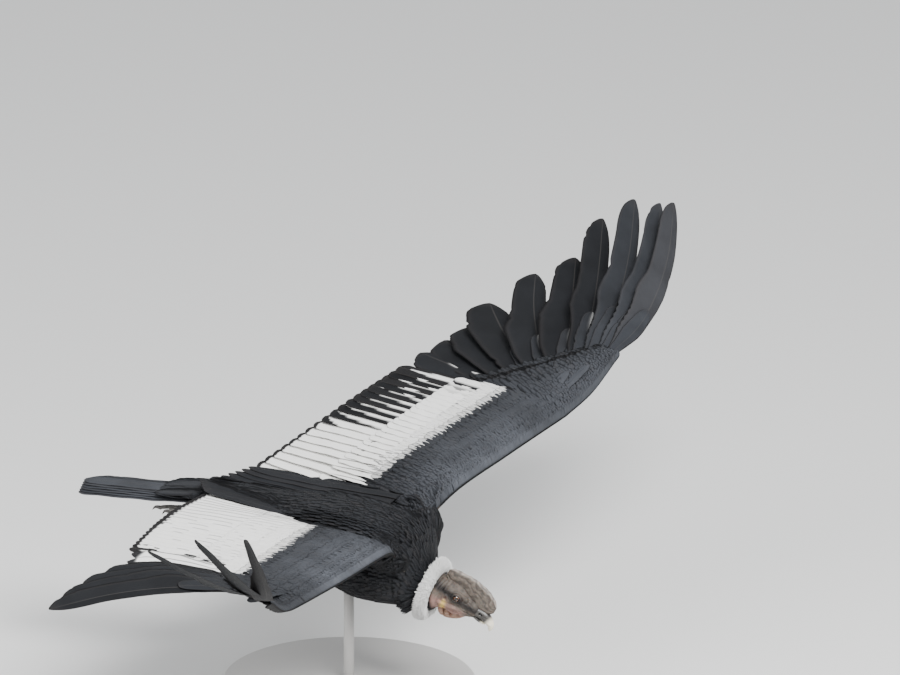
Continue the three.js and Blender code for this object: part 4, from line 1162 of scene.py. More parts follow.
def build_tail(material):
    """Twelve rectrices, the middle pair uppermost, and the coverts over and under their roots."""
    share = VANE_AT
    piece = Piece("rectrices")
    out = (np.arange(RECTRIX_PAIRS)[:, None] + 0.5) / (RECTRIX_PAIRS - 0.5)
    j = np.arange(RECTRIX_PAIRS)[:, None]
    shape = [(0, 10, 10), (0.4, 0.4 * RECTRIX_WIDTH, 0.6 * RECTRIX_WIDTH), (0.93, 18.5, 26), (1, 15, 21)]
    lead, trail = alike(RECTRIX_PAIRS, shaped(shape, share))
    for hand in (1, -1):
        at = mix(0.08, 1 - 0.03 * out, share)
        paths = tail_place(at, out + 0 * at, mix(1 + 2 * j, 2.2 * j, share))
        bake = baked(BAKE_SPINE, 0.5 + 0.1 * hand * out[:, 0], 0.995)
        # painted sheen over the rectrices
        vanes(piece, paths, lead, trail, -0.02, none_pale, seed=71 + hand, bake=bake, hand=hand, sheen=0.5)
    piece.build(material, "dark_plumage", ["tail"])

    rng = np.random.default_rng(73)
    piece = Piece("tail_coverts")
    rows, count = 7, 9
    for facing, height in ((1, 10), (-1, 20)):
        def place(u, v):
            """The coverts' own surface, above or beneath the tail's plane."""
            return tail_place(v, u, -facing * height * (1 - 1.6 * v) * np.sqrt(1.02 - 0.6 * u**2))

        for row in range(rows):
            across = (np.arange(count) + 0.5 * (row % 2)) / (count - 1) * 2 - 1
            start = mix(-0.02, 0.2, row / (rows - 1)) + np.zeros(count)
            root, lie, normal = on_surface(place, across * 0.9, start, -1, rng.normal(0, 0.05, count))
            normal *= np.sign(normal[:, 2:]) * facing
            length = mix(110, 90, row / (rows - 1)) * rng.uniform(0.9, 1.1, count)
            leaves(
                # painted sheen over the tail coverts
                piece, root, lie, normal, length, width=34, lift=0.0, curl=0.03, sheen=0.25,
                bake=baked(BAKE_SPINE, across / 2 % 1, 0.99 + 0 * across),
                tone=rng.uniform(-1, 1, count),
            )
    piece.build(material, "dark_plumage")


# ---------------------------------------------------------------------------------------------------------
# Feet
# ---------------------------------------------------------------------------------------------------------

TOES = [
    # spread in radians, length, drop, thickness
    (0.0, TOE_LENGTH, -9, 6), (0.24, TOE_LENGTH * 0.72, -7, 5.5), (-0.24, TOE_LENGTH * 0.7, -7, 5.5),
    (2.9, TOE_LENGTH * 0.3, -16, 4.5),
]


def build_foot(side, material, claw_material):
    """Toes with ringed scutes and blunt claws, folded back under the tail."""
    hand = WINGS[side]["hand"]
    palm = FOOT + [-12, 0, 1]
    foot, claws = Piece(f"foot_skin_{side}"), Piece(f"claws_{side}")
    share = np.linspace(0, 1, 60)
    for spread, length, drop, thick in TOES:
        reach = np.array([-np.cos(spread), np.sin(spread), 0])
        knuckle = palm + reach * length * 0.55 + UP * drop * 0.2
        points = [palm, knuckle, palm + reach * length * 0.85 + UP * drop]
        scute = 1 + 0.1 * np.abs(np.sin(share * length * 0.55)) - 0.05
        blunt = np.sqrt(np.clip(1 - ((share - 0.9) / 0.1).clip(0, 1) ** 2, 0.05, 1))
        swell = thick * (1 - 0.25 * share) * scute * blunt
        sections = np.stack([share, swell, swell * 0.88], -1)
        foot.tubes(limb_rings(points, sections, share, 18)[None], hand=hand)
        tip = points[-1]
        hook = [tip - reach * 5, tip + reach * length * 0.08 - UP * 1, tip + reach * length * 0.15 - UP * 9]
        taper = thick * (1 - share**1.6)
        taper = np.stack([share, 0.62 * taper + 0.3, 0.7 * taper + 0.3], -1)
        claws.tubes(limb_rings(hook, taper, share, 14)[None], hand=hand)
    shank = np.linspace(0.5, 1, 60)
    wide = np.interp(shank, [0.5, 0.54, 0.62, 0.9, 1], [12, 12.5, 9.3, 8.8, 9.8])
    wide = wide * (1 + 0.05 * np.abs(np.sin(shank * 95)))
    foot.tubes(limb_rings(LEG_PATH, np.stack([shank, wide, wide * 1.06], -1), shank, 24)[None], hand=hand)
    turn = np.linspace(0, np.pi, 24)
    centre = palm + np.array([1.0, 0, 0]) * (14 * np.cos(turn))[:, None]
    across, above = LEFTWARD + 0 * centre, UP + 0 * centre
    ball = ring_of(centre, across, above, 13 * np.sin(turn) + 0.1, 10 * np.sin(turn) + 0.1, 24)
    foot.tubes(ball[None], hand=hand)
    foot.build(material, "scaled_leg", [f"foot_{side}"])
    claws.build(claw_material, "horn")


# ---------------------------------------------------------------------------------------------------------
# Ruff
# ---------------------------------------------------------------------------------------------------------


# Rows of tufts from the head backward: place along the ruff's axis, radius of the roots, lean of the tips
RUFF_ROWS = [
    (7, 44, 3), (7, 48, 1), (6, 51, -1), (4, 53, -2), (1, 54, -3), (-1, 55, -4), (-3, 55, -5), (-5, 54, -6),
]
TUFTS_IN_ROW, TUFT_LENGTH, TUFT_WIDTH = 500, 18, 3.6


def round_ruff(angle):
    """Directions out from the ruff's axis."""
    return RUFF_UP * np.cos(angle)[:, None] + LEFTWARD * np.sin(angle)[:, None]


def build_ruff(material):
    """White down: a soft core round the neck and thousands of tufts that stand out and bend back over it."""
    rng = np.random.default_rng(81)
    piece = Piece("ruff_core")
    section = np.arange(24) / 24 * 2 * np.pi
    along, radius = 8 * np.cos(section), 53 + 9 * np.sin(section)
    outward = round_ruff(np.arange(73) / 72 * 2 * np.pi)
    rings = RUFF_CENTRE + RUFF_AXIS * along[None, :, None] + outward[:, None] * radius[None, :, None]
    piece.tubes(rings[None], tone=0.0)
    piece.build(material, "white_down", ["ruff"])

    piece = Piece("ruff_tufts")
    count = TUFTS_IN_ROW
    for row, (start, begin, tip_lean) in enumerate(RUFF_ROWS):
        turn = (np.arange(count) + 0.5 * (row % 2) + rng.uniform(-0.4, 0.4, count)) / count
        outward = round_ruff(turn * 2 * np.pi)
        root = RUFF_CENTRE + RUFF_AXIS * (start + rng.uniform(-2, 2, count))[:, None] + outward * begin
        lean = tip_lean + rng.normal(0, 1.0, count)
        reach = TUFT_LENGTH + rng.uniform(-1.8, 1.2, count)
        lie = unit(RUFF_AXIS * lean[:, None] + outward * reach[:, None])
        lie = unit(lie + rng.normal(0, 0.08, lie.shape))
        normal = unit(np.cross(np.cross(lie, RUFF_AXIS), lie))
        leaves(
            piece, root, lie, normal, np.hypot(lean, reach), TUFT_WIDTH, lift=0.06, curl=0.18, pale=1.0,
            bake=baked(BAKE_SPINE, turn, np.full(count, 0.42 + 0.01 * row)),
            tone=rng.uniform(-1, 1, count),
        )
    piece.build(material, "white_down")


# ---------------------------------------------------------------------------------------------------------
# Comb, wattle, bill and eyes
# ---------------------------------------------------------------------------------------------------------

COMB = [
    # along the head, foot, top, half width
    [-5, 20, 44, 3], [4, 18, 51, 6.5], [20, 16, 55, 7.5], [38, 14, 58, 6.5], [56, 10, 60, 8], [74, 6, 59, 7],
    [90, 4, 56, 8.5], [104, 6, 51, 7.5], [116, 10, 44, 7], [124, 18, 33, 3],
]
COMB_SQUARENESS = 2.3


def build_comb(material):
    """The fleshy comb: a plate with rounded, wavy top and grooved sides, with painted shade in its grooves
    and a painted highlight along its rim.
    """
    rows, columns = 110, 96
    along, low, high, wide = curve(np.array(COMB, float), np.linspace(0, 1, rows)).T
    centre = head_point(along, 0 * along, (low + high) / 2)
    turn = np.arange(columns) / columns + np.zeros((rows, 1))
    side, up = LEFTWARD + 0 * centre, HEAD_UP + 0 * centre
    rings = oblong(centre, side, up, wide, (high - low) / 2, turn, COMB_SQUARENESS + 0 * along)
    height = np.abs(((rings - HEAD_ORIGIN) @ HEAD_UP - low[:, None]) / (high - low)[:, None])
    groove = np.abs(np.sin(height * 11 + 0.05 * along[:, None] + 3.4 * wavy(rings, 45, 13)))
    lumps = 1.1 * (groove**1.4 - 0.5) * smooth(0, 0.2, height) + 0.8 * wavy(rings, 9, 14)
    lumps *= smooth(0.5, 3, np.abs(rings[..., 1])) * np.sign(rings[..., 1])
    rings = rings + LEFTWARD * lumps[..., None]
    rings = rings + HEAD_UP * (1.3 * wavy(rings[:, :1], 16, 15) * smooth(0.6, 1, height))[..., None]
    piece = Piece("comb_flesh")
    # rim: a painted highlight along the top; groove: painted shade in the hollows between the ridges
    piece.tubes(rings[None], rim=smooth(0.88, 1.0, height), groove=1 - groove)
    piece.build(material, "comb_skin", ["comb"])


def fold_rings(points, thick):
    """A soft ridge through points given in the head's directions."""
    run = head_point(*np.array(points, float).T)
    share = np.linspace(0, 1, 30)
    swell = thick * np.clip(np.sin(np.pi * (0.04 + 0.92 * share)), 0.08, 1) ** 0.6
    swell = swell * (1 + 0.08 * np.sin(share * 31))
    return limb_rings(run, np.stack([share, swell, swell], -1), share, 16)


LAPPETS = [
    # along the head, out to a side, above its axis
    [[14, 15, -27], [24, 14, -40], [30, 10, -51]],
    [[31, 13, -28], [39, 12, -39], [43, 8, -48]],
    [[47, 10, -26], [54, 9, -35], [57, 5, -42]],
]


KEEL = [
    # along the head, above its axis, half width, half depth
    [16, -42, 4, 8], [34, -42, 6, 14], [58, -34, 5, 11], [76, -22, 3, 6],
]
LAPPET_THICKNESS = 6.5


def build_wattle(material):
    """The loose skin of the throat: a wrinkled keel and hanging lappets."""
    piece = Piece("wattle_skin")
    share = np.linspace(0, 1, 50)
    along, up, wide, deep = curve(np.array(KEEL, float), share).T
    blunt = np.sqrt(np.clip(1 - (2 * share - 1) ** 6, 0.03, 1))
    centre = head_point(along, 0 * along, up)
    rings = ring_of(centre, LEFTWARD + 0 * centre, HEAD_UP + 0 * centre, wide * blunt, deep * blunt, 40)
    wrinkle = 1.5 * np.abs(np.sin((rings @ HEAD_UP) * 0.55 + 2 * wavy(rings, 25, 16)))
    rings = rings + LEFTWARD * (wrinkle * np.sign(rings[..., 1]))[..., None]
    piece.tubes(rings[None], pink=0.75, yellow=0.08, dark=0.0)
    for points in LAPPETS:
        for hand in (1, -1):
            mirrored = [[ahead, side * hand, above] for ahead, side, above in points]
            # dark: a little painted shade over the lappets
            piece.tubes(fold_rings(mirrored, LAPPET_THICKNESS)[None], pink=0.75, yellow=0.1, dark=0.05)
    piece.build(material, "bare_skin", ["wattle"])


# along the head, beside it, above its axis
UPPER_BILL = [[90, 0, 0], [110, 0, 1], [125, 0, -4], [133, 0, -12], [135, 0, -23]]
LOWER_BILL = [[88, 0, -10], [106, 0, -14], [120, 0, -15]]


def build_bill(material):
    """Upper bill with its hooked tip and sunk nostrils, and the lower one: dark, and ivory ahead."""
    share = np.linspace(0, 1, 90)
    upper = Piece("bill_upper_horn")
    path = head_point(*np.array(UPPER_BILL, float).T)
    width = np.interp(share, [0, 0.4, 0.7, 0.9, 1], [13.5, 11, 8, 4.2, 1])
    depth = np.interp(share, [0, 0.4, 0.7, 0.9, 1], [12, 11.2, 8.2, 4.6, 1])
    rings = limb_rings(path, np.stack([share, width, depth], -1), share, 72)
    local = rings - HEAD_ORIGIN
    along, up = local @ HEAD_ALONG, local @ HEAD_UP
    nostril = np.hypot((along - 103) / 4.6, (up - 3) / 2.5)
    cutting = smooth(0.5, 1, np.abs(local[..., 1]) / width[:, None]) * bell(up + 7, 2)
    sunk = 5.5 * smooth(1.15, 0.75, nostril) - 0.8 * cutting
    rings = rings - LEFTWARD * (np.sign(local[..., 1]) * sunk)[..., None]
    ivory = smooth(0.46, 0.66, share)[:, None] + 0 * along
    # dark: painted shade in the sunk nostrils
    upper.tubes(rings[None], ivory=ivory, dark=smooth(1.2, 0.8, nostril))
    upper.build(material, "horn", ["bill_upper"])

    lower = Piece("bill_lower_horn")
    path = head_point(*np.array(LOWER_BILL, float).T)
    width = np.interp(share, [0, 0.5, 0.85, 1], [12, 9, 4.6, 1])
    depth = np.interp(share, [0, 0.5, 0.85, 1], [4.4, 4.2, 3, 0.8])
    rings = limb_rings(path, np.stack([share, width, depth], -1), share, 48)
    lower.tubes(rings[None], ivory=smooth(0.55, 0.8, share)[:, None] + np.zeros((90, 48)), dark=0.0)
    lower.build(material, "horn", ["bill_lower"])


def build_eye(side, material, clear_material):
    """An eyeball with its iris and pupil, and a clear cornea over it."""
    hand = WINGS[side]["hand"]
    centre = head_point(*EYE_PLACE)
    gaze = unit(np.array([0.25, 1.0, 0.05]))
    across = unit(np.cross(UP, gaze))
    above = np.cross(gaze, across)
    angle = np.linspace(0.01, np.pi - 0.01, 60)
    for name, bulge, look in (("eyeball", 0.0, material), ("cornea", 1.0, clear_material)):
        piece = Piece(f"{name}_{side}")
        reach = EYE_RADIUS - CORNEA_GAP + bulge * (CORNEA_GAP + CORNEA_BULGE * bell(angle, 0.5))
        middle = centre + gaze * (reach * np.cos(angle))[:, None]
        wide = reach * np.sin(angle)
        rings = ring_of(middle, across + 0 * middle, above + 0 * middle, wide, wide, 48)
        piece.tubes(rings[None], hand=hand, angle=np.degrees(angle)[:, None])
        piece.build(look, "eye", [f"eye_{side}"])


# ---------------------------------------------------------------------------------------------------------
# Stand
# ---------------------------------------------------------------------------------------------------------


def turned_piece(name, profile, columns):
    """A piece turned about the vertical axis from (radius, height) points, in the frame's own place."""
    turn = np.arange(columns) / columns * 2 * np.pi
    outward = np.stack([np.cos(turn), np.sin(turn), 0 * turn], -1)
    piece = Piece(name)
    piece.tubes(np.stack([outward * radius + UP * height for radius, height in profile])[None] * MM)
    return piece


def build_stand(base_material, rod_material):
    """A round painted base with a chamfered rim, and a rod up into the belly."""
    top, rim, inner = BASE_THICKNESS, BASE_THICKNESS - BASE_CHAMFER, BASE_RADIUS - BASE_CHAMFER
    base = turned_piece("base", [
        (1, 0), (BASE_RADIUS - FOOT_ROUND, 0), (BASE_RADIUS, FOOT_ROUND), (BASE_RADIUS, rim - 0.8),
        (BASE_RADIUS - EDGE_ROUND, rim + EDGE_ROUND), (inner + EDGE_ROUND, top - EDGE_ROUND),
        (inner - 0.8, top), (ROD_RADIUS + 8, top), (1, top),
    ], 192)
    base.build(base_material, "painted_wood", ["stand_base"], placed=True)
    foot = BASE_THICKNESS + ROD_FOOT_GAP
    rod = turned_piece("rod", [(ROD_RADIUS - 1, foot), (ROD_RADIUS, foot + 1), (ROD_RADIUS, ROD_TOP)], 64)
    rod.build(rod_material, "painted_steel", ["stand_rod"], placed=True)


# ---------------------------------------------------------------------------------------------------------
# Materials
# ---------------------------------------------------------------------------------------------------------


class Value:
    """A socket that adds, multiplies and compares like a number, by Math nodes."""

    def __init__(self, graph, socket):
        self.graph, self.socket = graph, socket

    def math(self, operation, *others, clamp=False):
        """The result of one Math node over this value and others."""
        node = self.graph.nodes.new("ShaderNodeMath")
        node.operation, node.use_clamp = operation, clamp
        for socket, value in zip(node.inputs, (self, *others)):
            self.graph.join(socket, value)
        return Value(self.graph, node.outputs[0])

    def __add__(self, other):
        return self.math("ADD", other)

    __radd__ = __add__

    def __mul__(self, other):
        return self.math("MULTIPLY", other)

    __rmul__ = __mul__

    def __sub__(self, other):
        return self.math("SUBTRACT", other)

    def __rsub__(self, other):
        return (self * -1.0).math("ADD", other)

    def __abs__(self):
        return self.math("ABSOLUTE")

    def sin(self):
        """Its sine."""
        return self.math("SINE")

    def clamped(self):
        """Held between 0 and 1."""
        return self.math("ADD", 0.0, clamp=True)

    def step(self, low, high):
        """0 up to low and 1 from high on, smoothly."""
        node = self.graph.nodes.new("ShaderNodeMapRange")
        node.interpolation_type = "SMOOTHSTEP"
        for name, value in (("Value", self), ("From Min", low), ("From Max", high)):
            self.graph.join(node.inputs[name], value)
        return Value(self.graph, node.outputs["Result"])


class Graph:
    """The nodes of one material."""

    def __init__(self, name, **constants):
        self.material = bpy.data.materials.new(name)
        self.material.use_nodes = True
        self.nodes, self.links = self.material.node_tree.nodes, self.material.node_tree.links
        self.nodes.clear()
        self.shader = self.nodes.new("ShaderNodeBsdfPrincipled")
        output = self.nodes.new("ShaderNodeOutputMaterial")
        self.links.new(self.shader.outputs[0], output.inputs["Surface"])
        for key, value in constants.items():
            self.shader.inputs[key.replace("_", " ")].default_value = value

    def join(self, socket, value):
        """Links a value to a socket, or sets the socket to a constant."""
        if isinstance(value, Value):
            self.links.new(value.socket, socket)
        else:
            socket.default_value = value

    def feed(self, name, value):
        """Links or sets one input of the shader."""
        self.join(self.shader.inputs[name], value)

    def node(self, kind, output=0, settings=None, **inputs):
        """One output of a new node, with its settings and its inputs by name."""
        node = self.nodes.new("ShaderNode" + kind)
        for key, value in (settings or {}).items():
            setattr(node, key, value)
        for key, value in inputs.items():
            self.join(node.inputs[key.replace("_", " ")], value)
        return Value(self, node.outputs[output])

    def point_value(self, name):
        """A value that the mesh carries at its points."""
        return self.node("Attribute", "Fac", {"attribute_name": name})

    def shares(self, name):
        """The two shares of a UV map."""
        place = self.node("UVMap", settings={"uv_map": name})
        split = self.nodes.new("ShaderNodeSeparateXYZ")
        self.links.new(place.socket, split.inputs[0])
        return Value(self, split.outputs[0]), Value(self, split.outputs[1])

    def noise(self, scale, detail=3.0, stretch=None):
        """Noise from 0 to 1 over the object's own place, in features per metre."""
        place = self.node("TexCoord", "Object")
        if stretch is not None:
            place = self.node("Mapping", Vector=place, Scale=stretch)
        return self.node("TexNoise", Vector=place, Scale=scale, Detail=detail)

    def colour(self, factor, first, second):
        """A mix of two colours."""
        node = self.nodes.new("ShaderNodeMix")
        node.data_type = "RGBA"
        for index, value in ((0, factor), (6, first), (7, second)):
            value = (*value, 1.0) if isinstance(value, tuple) and len(value) == 3 else value
            self.join(node.inputs[index], value)
        return Value(self, node.outputs[2])

    def bump(self, height, distance, strength=1.0):
        """A normal raised by a height, in metres at 1."""
        return self.node("Bump", Height=height, Distance=distance, Strength=strength)


# the slate is the colour of the painted sheen
BLACK, PAINTED_SHEEN_SLATE, BROWN = (0.0055, 0.0057, 0.0065), (0.1, 0.108, 0.125), (0.045, 0.036, 0.03)
WHITE, CREAM = (0.92, 0.915, 0.895), (0.66, 0.65, 0.62)
DARK_SHAFT, PALE_SHAFT = (0.08, 0.075, 0.07), (0.3, 0.29, 0.28)
DOWN, DOWN_SHADE = (0.97, 0.965, 0.95), (0.8, 0.785, 0.755)
# the darkest skin colour is painted shade
SKIN, SKIN_LIGHT, SKIN_PAINTED_SHADE = (0.07, 0.056, 0.046), (0.14, 0.115, 0.094), (0.012, 0.0095, 0.009)
SKIN_PINK, SKIN_YELLOW = (0.36, 0.2, 0.17), (0.6, 0.42, 0.1)
COMB_GREY, COMB_LIGHT = (0.085, 0.07, 0.058), (0.16, 0.132, 0.108)
# the rim colour is a painted highlight, the groove colour painted shade
COMB_RIM_HIGHLIGHT, COMB_GROOVE_SHADE = (0.4, 0.36, 0.32), (0.035, 0.028, 0.025)
# the nostril colour is painted shade
HORN, IVORY, NOSTRIL_SHADE = (0.03, 0.027, 0.025), (0.8, 0.74, 0.6), (0.008, 0.007, 0.007)
PUPIL, IRIS, IRIS_RAYS, EYE_RIM = (0.004,) * 3, (0.1, 0.045, 0.024), (0.17, 0.08, 0.04), (0.02, 0.012, 0.01)
LEG_DARK, LEG_LIGHT = (0.035, 0.033, 0.031), (0.09, 0.085, 0.08)
BARBS = 150.0


def plumage(name):
    """Feathers: black to slate by a painted sheen, white where pale, with the shaft and the barbs of each
    vane; the pale value also carries painted highlights near some coverts' tips.
    """
    graph = Graph(name, Specular_IOR_Level=0.1)
    across, along = graph.shares("Vane")
    pale, sheen, tone = (graph.point_value(key) for key in ("pale", "sheen", "tone"))
    off = abs(across - 0.5) * 2.0
    shaft = 1.0 - off.step(0.02, 0.05)
    barbs = ((along * BARBS - off * 22.0) * 6.2832).sin()
    cloud = graph.noise(14.0, 4.0)
    edge = (off.step(0.72, 1.0) + along.step(0.93, 1.0)).clamped()
    # painted sheen, with random mottle, tone, worn edges and barbs, lightens the black toward slate
    painted_sheen_and_mottle = (sheen * (0.3 + cloud * 0.9) + tone * 0.02 + cloud * 0.05 + edge * 0.02 + barbs * 0.012).clamped()
    dark = graph.colour(painted_sheen_and_mottle, BLACK, PAINTED_SHEEN_SLATE)
    dark = graph.colour((edge * 0.16 + tone.step(0.3, 1.0) * 0.14).clamped(), dark, BROWN)
    dark = graph.colour(shaft * 0.3, dark, DARK_SHAFT)
    white = graph.colour((cloud * 0.35 + barbs * 0.05 + tone * 0.05).clamped(), WHITE, CREAM)
    white = graph.colour(shaft * 0.25, white, PALE_SHAFT)
    graph.feed("Base Color", graph.colour(pale, dark, white))
    graph.feed("Roughness", (0.56 + pale * 0.2 + cloud * 0.12).clamped())
    graph.feed("Normal", graph.bump(barbs * 0.5 + cloud * 0.4, 0.0006, 0.5))
    return graph.material


def down(name):
    """White down, with painted shade that greys it a little between its tufts, toward their roots."""
    graph = Graph(name, Specular_IOR_Level=0.2, Sheen_Weight=0.4, Sheen_Roughness=0.5)
    tone = graph.point_value("tone")
    across, along = graph.shares("Vane")
    fine = (across * 75.0).sin() * 0.5 + 0.5
    # painted shade: greyer toward the roots of the tufts, with random tone and fine lines
    shade = (0.1 + tone * 0.06 - along * 0.1 + fine * 0.04).clamped()
    graph.feed("Base Color", graph.colour(shade, DOWN, DOWN_SHADE))
    graph.feed("Roughness", 0.85 + tone * 0.05)
    graph.feed("Normal", graph.bump(fine, 0.0005, 0.6))
    return graph.material


def bare_skin(name):
    """Wrinkled bare skin: greyish brown, pink at the throat, yellow by the ruff, with painted shade over the
    eyes.
    """
    graph = Graph(name, Subsurface_Weight=0.12, Subsurface_Scale=0.004, Specular_IOR_Level=0.3)
    pink, yellow, dark, coated = (graph.point_value(key) for key in ("pink", "yellow", "dark", "coated"))
    mottle, pores = graph.noise(90.0, 4.0), graph.noise(900.0, 2.0)
    colour = graph.colour(mottle.step(0.3, 0.7), SKIN, SKIN_LIGHT)
    colour = graph.colour((pink * (0.5 + mottle * 0.6)).clamped(), colour, SKIN_PINK)
    colour = graph.colour((yellow * 0.85).clamped(), colour, SKIN_YELLOW)
    # dark: painted shade over the eyes, the crown and the mouth's line, and a little over the lappets
    colour = graph.colour(dark.clamped(), colour, SKIN_PAINTED_SHADE)
    graph.feed("Base Color", graph.colour(coated, colour, BLACK))
    graph.feed("Roughness", (0.48 + pores * 0.2 + coated * 0.5).clamped())
    graph.feed("Normal", graph.bump(pores * 0.5 + mottle * 0.5, 0.0006, 0.6))
    return graph.material


def comb_skin(name):
    """Grooved flesh of the comb, brownish grey, with painted shade in the grooves and a painted highlight
    along the rim.
    """
    graph = Graph(name, Subsurface_Weight=0.08, Subsurface_Scale=0.003, Specular_IOR_Level=0.4)
    rim, groove = graph.point_value("rim"), graph.point_value("groove")
    mottle, pores = graph.noise(120.0, 4.0), graph.noise(1100.0, 2.0)
    colour = graph.colour(mottle.step(0.3, 0.7), COMB_GREY, COMB_LIGHT)
    colour = graph.colour((rim * 0.6).clamped(), colour, COMB_RIM_HIGHLIGHT)
    colour = graph.colour((groove * 0.7).clamped(), colour, COMB_GROOVE_SHADE)
    graph.feed("Base Color", colour)
    graph.feed("Roughness", 0.45 + pores * 0.25)
    graph.feed("Normal", graph.bump(pores * 0.6 + mottle * 0.4, 0.0005, 0.6))
    return graph.material


def horn(name):
    """Horn from near black to ivory, with painted shade in the nostrils."""
    graph = Graph(name, Coat_Roughness=0.25, Specular_IOR_Level=0.5)
    ivory, dark = graph.point_value("ivory"), graph.point_value("dark")
    streaks = graph.noise(60.0, 4.0, stretch=(1.0, 6.0, 6.0))
    colour = graph.colour((ivory + (streaks - 0.5) * 0.3).clamped(), HORN, IVORY)
    colour = graph.colour((dark * 0.9).clamped(), colour, NOSTRIL_SHADE)
    graph.feed("Base Color", colour)
    graph.feed("Roughness", 0.3 + streaks * 0.2)
    graph.feed("Coat Weight", 0.2 + ivory * 0.15)
    return graph.material


def eyeball(name):
    """A brown iris round a black pupil, dark beyond."""
    graph = Graph(name, Roughness=0.15)
    angle = graph.point_value("angle")
    rays = graph.noise(1500.0, 2.0)
    colour = graph.colour(angle.step(20.0, 23.0), PUPIL, IRIS)
    colour = graph.colour((rays.step(0.4, 0.7) * angle.step(22.0, 30.0)).clamped(), colour, IRIS_RAYS)
    graph.feed("Base Color", graph.colour(angle.step(42.0, 48.0), colour, EYE_RIM))
    return graph.material


def cornea(name):
    """Clear and wet."""
    graph = Graph(name, Roughness=0.02, IOR=1.38, Transmission_Weight=1.0)
    graph.shader.inputs["Base Color"].default_value = (1, 1, 1, 1)
    return graph.material


def scaled_leg(name):
    """Grey scaled skin of the feet."""
    graph = Graph(name, Specular_IOR_Level=0.4)
    across, along = graph.shares("Vane")
    mottle = graph.noise(150.0, 4.0)
    graph.feed("Base Color", graph.colour(mottle.step(0.3, 0.7), LEG_DARK, LEG_LIGHT))
    graph.feed("Roughness", 0.5 + mottle * 0.2)
    scales = (along * 240.0).sin() * 0.5 + mottle * 0.5 + (across * 60.0).sin() * 0.2
    graph.feed("Normal", graph.bump(scales, 0.0008, 0.6))
    return graph.material


def paint(name, colour):
    """Smooth satin paint."""
    graph = Graph(name, Specular_IOR_Level=0.45)
    cloud = graph.noise(6.0, 3.0)
    graph.feed("Base Color", graph.colour(cloud, colour, tuple(0.96 * c for c in colour)))
    graph.feed("Roughness", 0.36 + cloud * 0.06)
    graph.feed("Normal", graph.bump(graph.noise(700.0, 2.0), 0.00008, 0.4))
    return graph.material


def plain(name, colour, roughness):
    """One plain colour."""
    graph = Graph(name, Roughness=roughness)
    graph.shader.inputs["Base Color"].default_value = (*colour, 1.0)
    return graph.material


MATERIALS = {
    "plumage": plumage, "down": down, "bare_skin": bare_skin, "comb_skin": comb_skin, "horn": horn,
    "eyeball": eyeball, "cornea": cornea, "scaled_leg": scaled_leg,
}


def material(name):
    """One of the bird's materials, made at its first use."""
    return bpy.data.materials.get(f"look_{name}") or MATERIALS[name](f"look_{name}")


# ---------------------------------------------------------------------------------------------------------
# Stage
# ---------------------------------------------------------------------------------------------------------


def build_camera(azimuth, elevation, distance, pixels_per_metre, shoulder_pixel, picture):
    """The photo's view: from afar at the bird's right, ahead and above, framed as the photo is."""
    a, e = np.radians(azimuth), np.radians(elevation)
    right = Vector((np.cos(a), np.sin(a), 0))
    back = Vector((np.sin(a) * np.cos(e), -np.cos(a) * np.cos(e), np.sin(e)))
    up = back.cross(right)
    shift_right = (picture[0] / 2 - shoulder_pixel[0]) / pixels_per_metre
    shift_up = (shoulder_pixel[1] - picture[1] / 2) / pixels_per_metre
    camera = bpy.data.cameras.new("camera")
    camera.sensor_width = 36.0
    camera.lens = pixels_per_metre * distance * camera.sensor_width / picture[0]
    camera.clip_end = distance * 3
    held = bpy.data.objects.new("camera", camera)
    place = Vector(SHOULDER * MM) + back * distance + right * shift_right + up * shift_up
    held.matrix_world = Matrix.Translation(place) @ Matrix((right, up, back)).transposed().to_4x4()
    bpy.context.scene.collection.objects.link(held)
    bpy.context.scene.camera = held


def build_lamp(name, place, size, power):
    """A soft square lamp that faces the bird."""
    light = bpy.data.lights.new(name, "AREA")
    light.size, light.energy = size, power
    lamp = bpy.data.objects.new(name, light)
    target = Vector((0, 0, 0.35))
    turn = (target - Vector(place)).to_track_quat("-Z", "Y")
    lamp.matrix_world = Matrix.Translation(place) @ turn.to_matrix().to_4x4()
    bpy.context.scene.collection.objects.link(lamp)


def build_floor(size):
    """A plain pale floor at the height of the base's foot."""
    mesh = bpy.data.meshes.new("floor")
    half = size / 2
    corners = [(-half, -half, 0), (half, -half, 0), (half, half, 0), (-half, half, 0)]
    mesh.from_pydata(corners, [], [(0, 1, 2, 3)])
    mesh.materials.append(plain("floor", (0.74, 0.74, 0.73), 0.85))
    floor = bpy.data.objects.new("floor", mesh)
    bpy.context.scene.collection.objects.link(floor)


def build_world():
    """Even pale light from all round."""
    world = bpy.data.worlds.new("studio")
    world.use_nodes = True
    background = world.node_tree.nodes["Background"]
    background.inputs["Color"].default_value = (0.95, 0.97, 1.0, 1.0)
    background.inputs["Strength"].default_value = 0.7
    bpy.context.scene.world = world


# ---------------------------------------------------------------------------------------------------------
# Settings, operators and panel
# ---------------------------------------------------------------------------------------------------------


class CameraSettings(bpy.types.PropertyGroup):
    """Where the photo was taken from."""

    azimuth: FloatProperty(
        name="Azimuth", description="Degrees ahead of square to the bird's right", default=24.2,
    )
    elevation: FloatProperty(name="Elevation", description="Degrees above the bird's level", default=19.07)
    distance: FloatProperty(name="Distance", description="From the bird", default=60.0, unit="LENGTH")
    scale: FloatProperty(name="Scale", description="Picture points to a metre at the bird", default=472.6)
    shoulder: FloatVectorProperty(
        name="Shoulder", description="The shoulder's place in the picture, from its upper left", size=2,
        default=(400.44, 532.58),
    )
    picture: FloatVectorProperty(
        name="Picture", description="Width and height of the picture", size=2, default=(900.0, 675.0),
    )


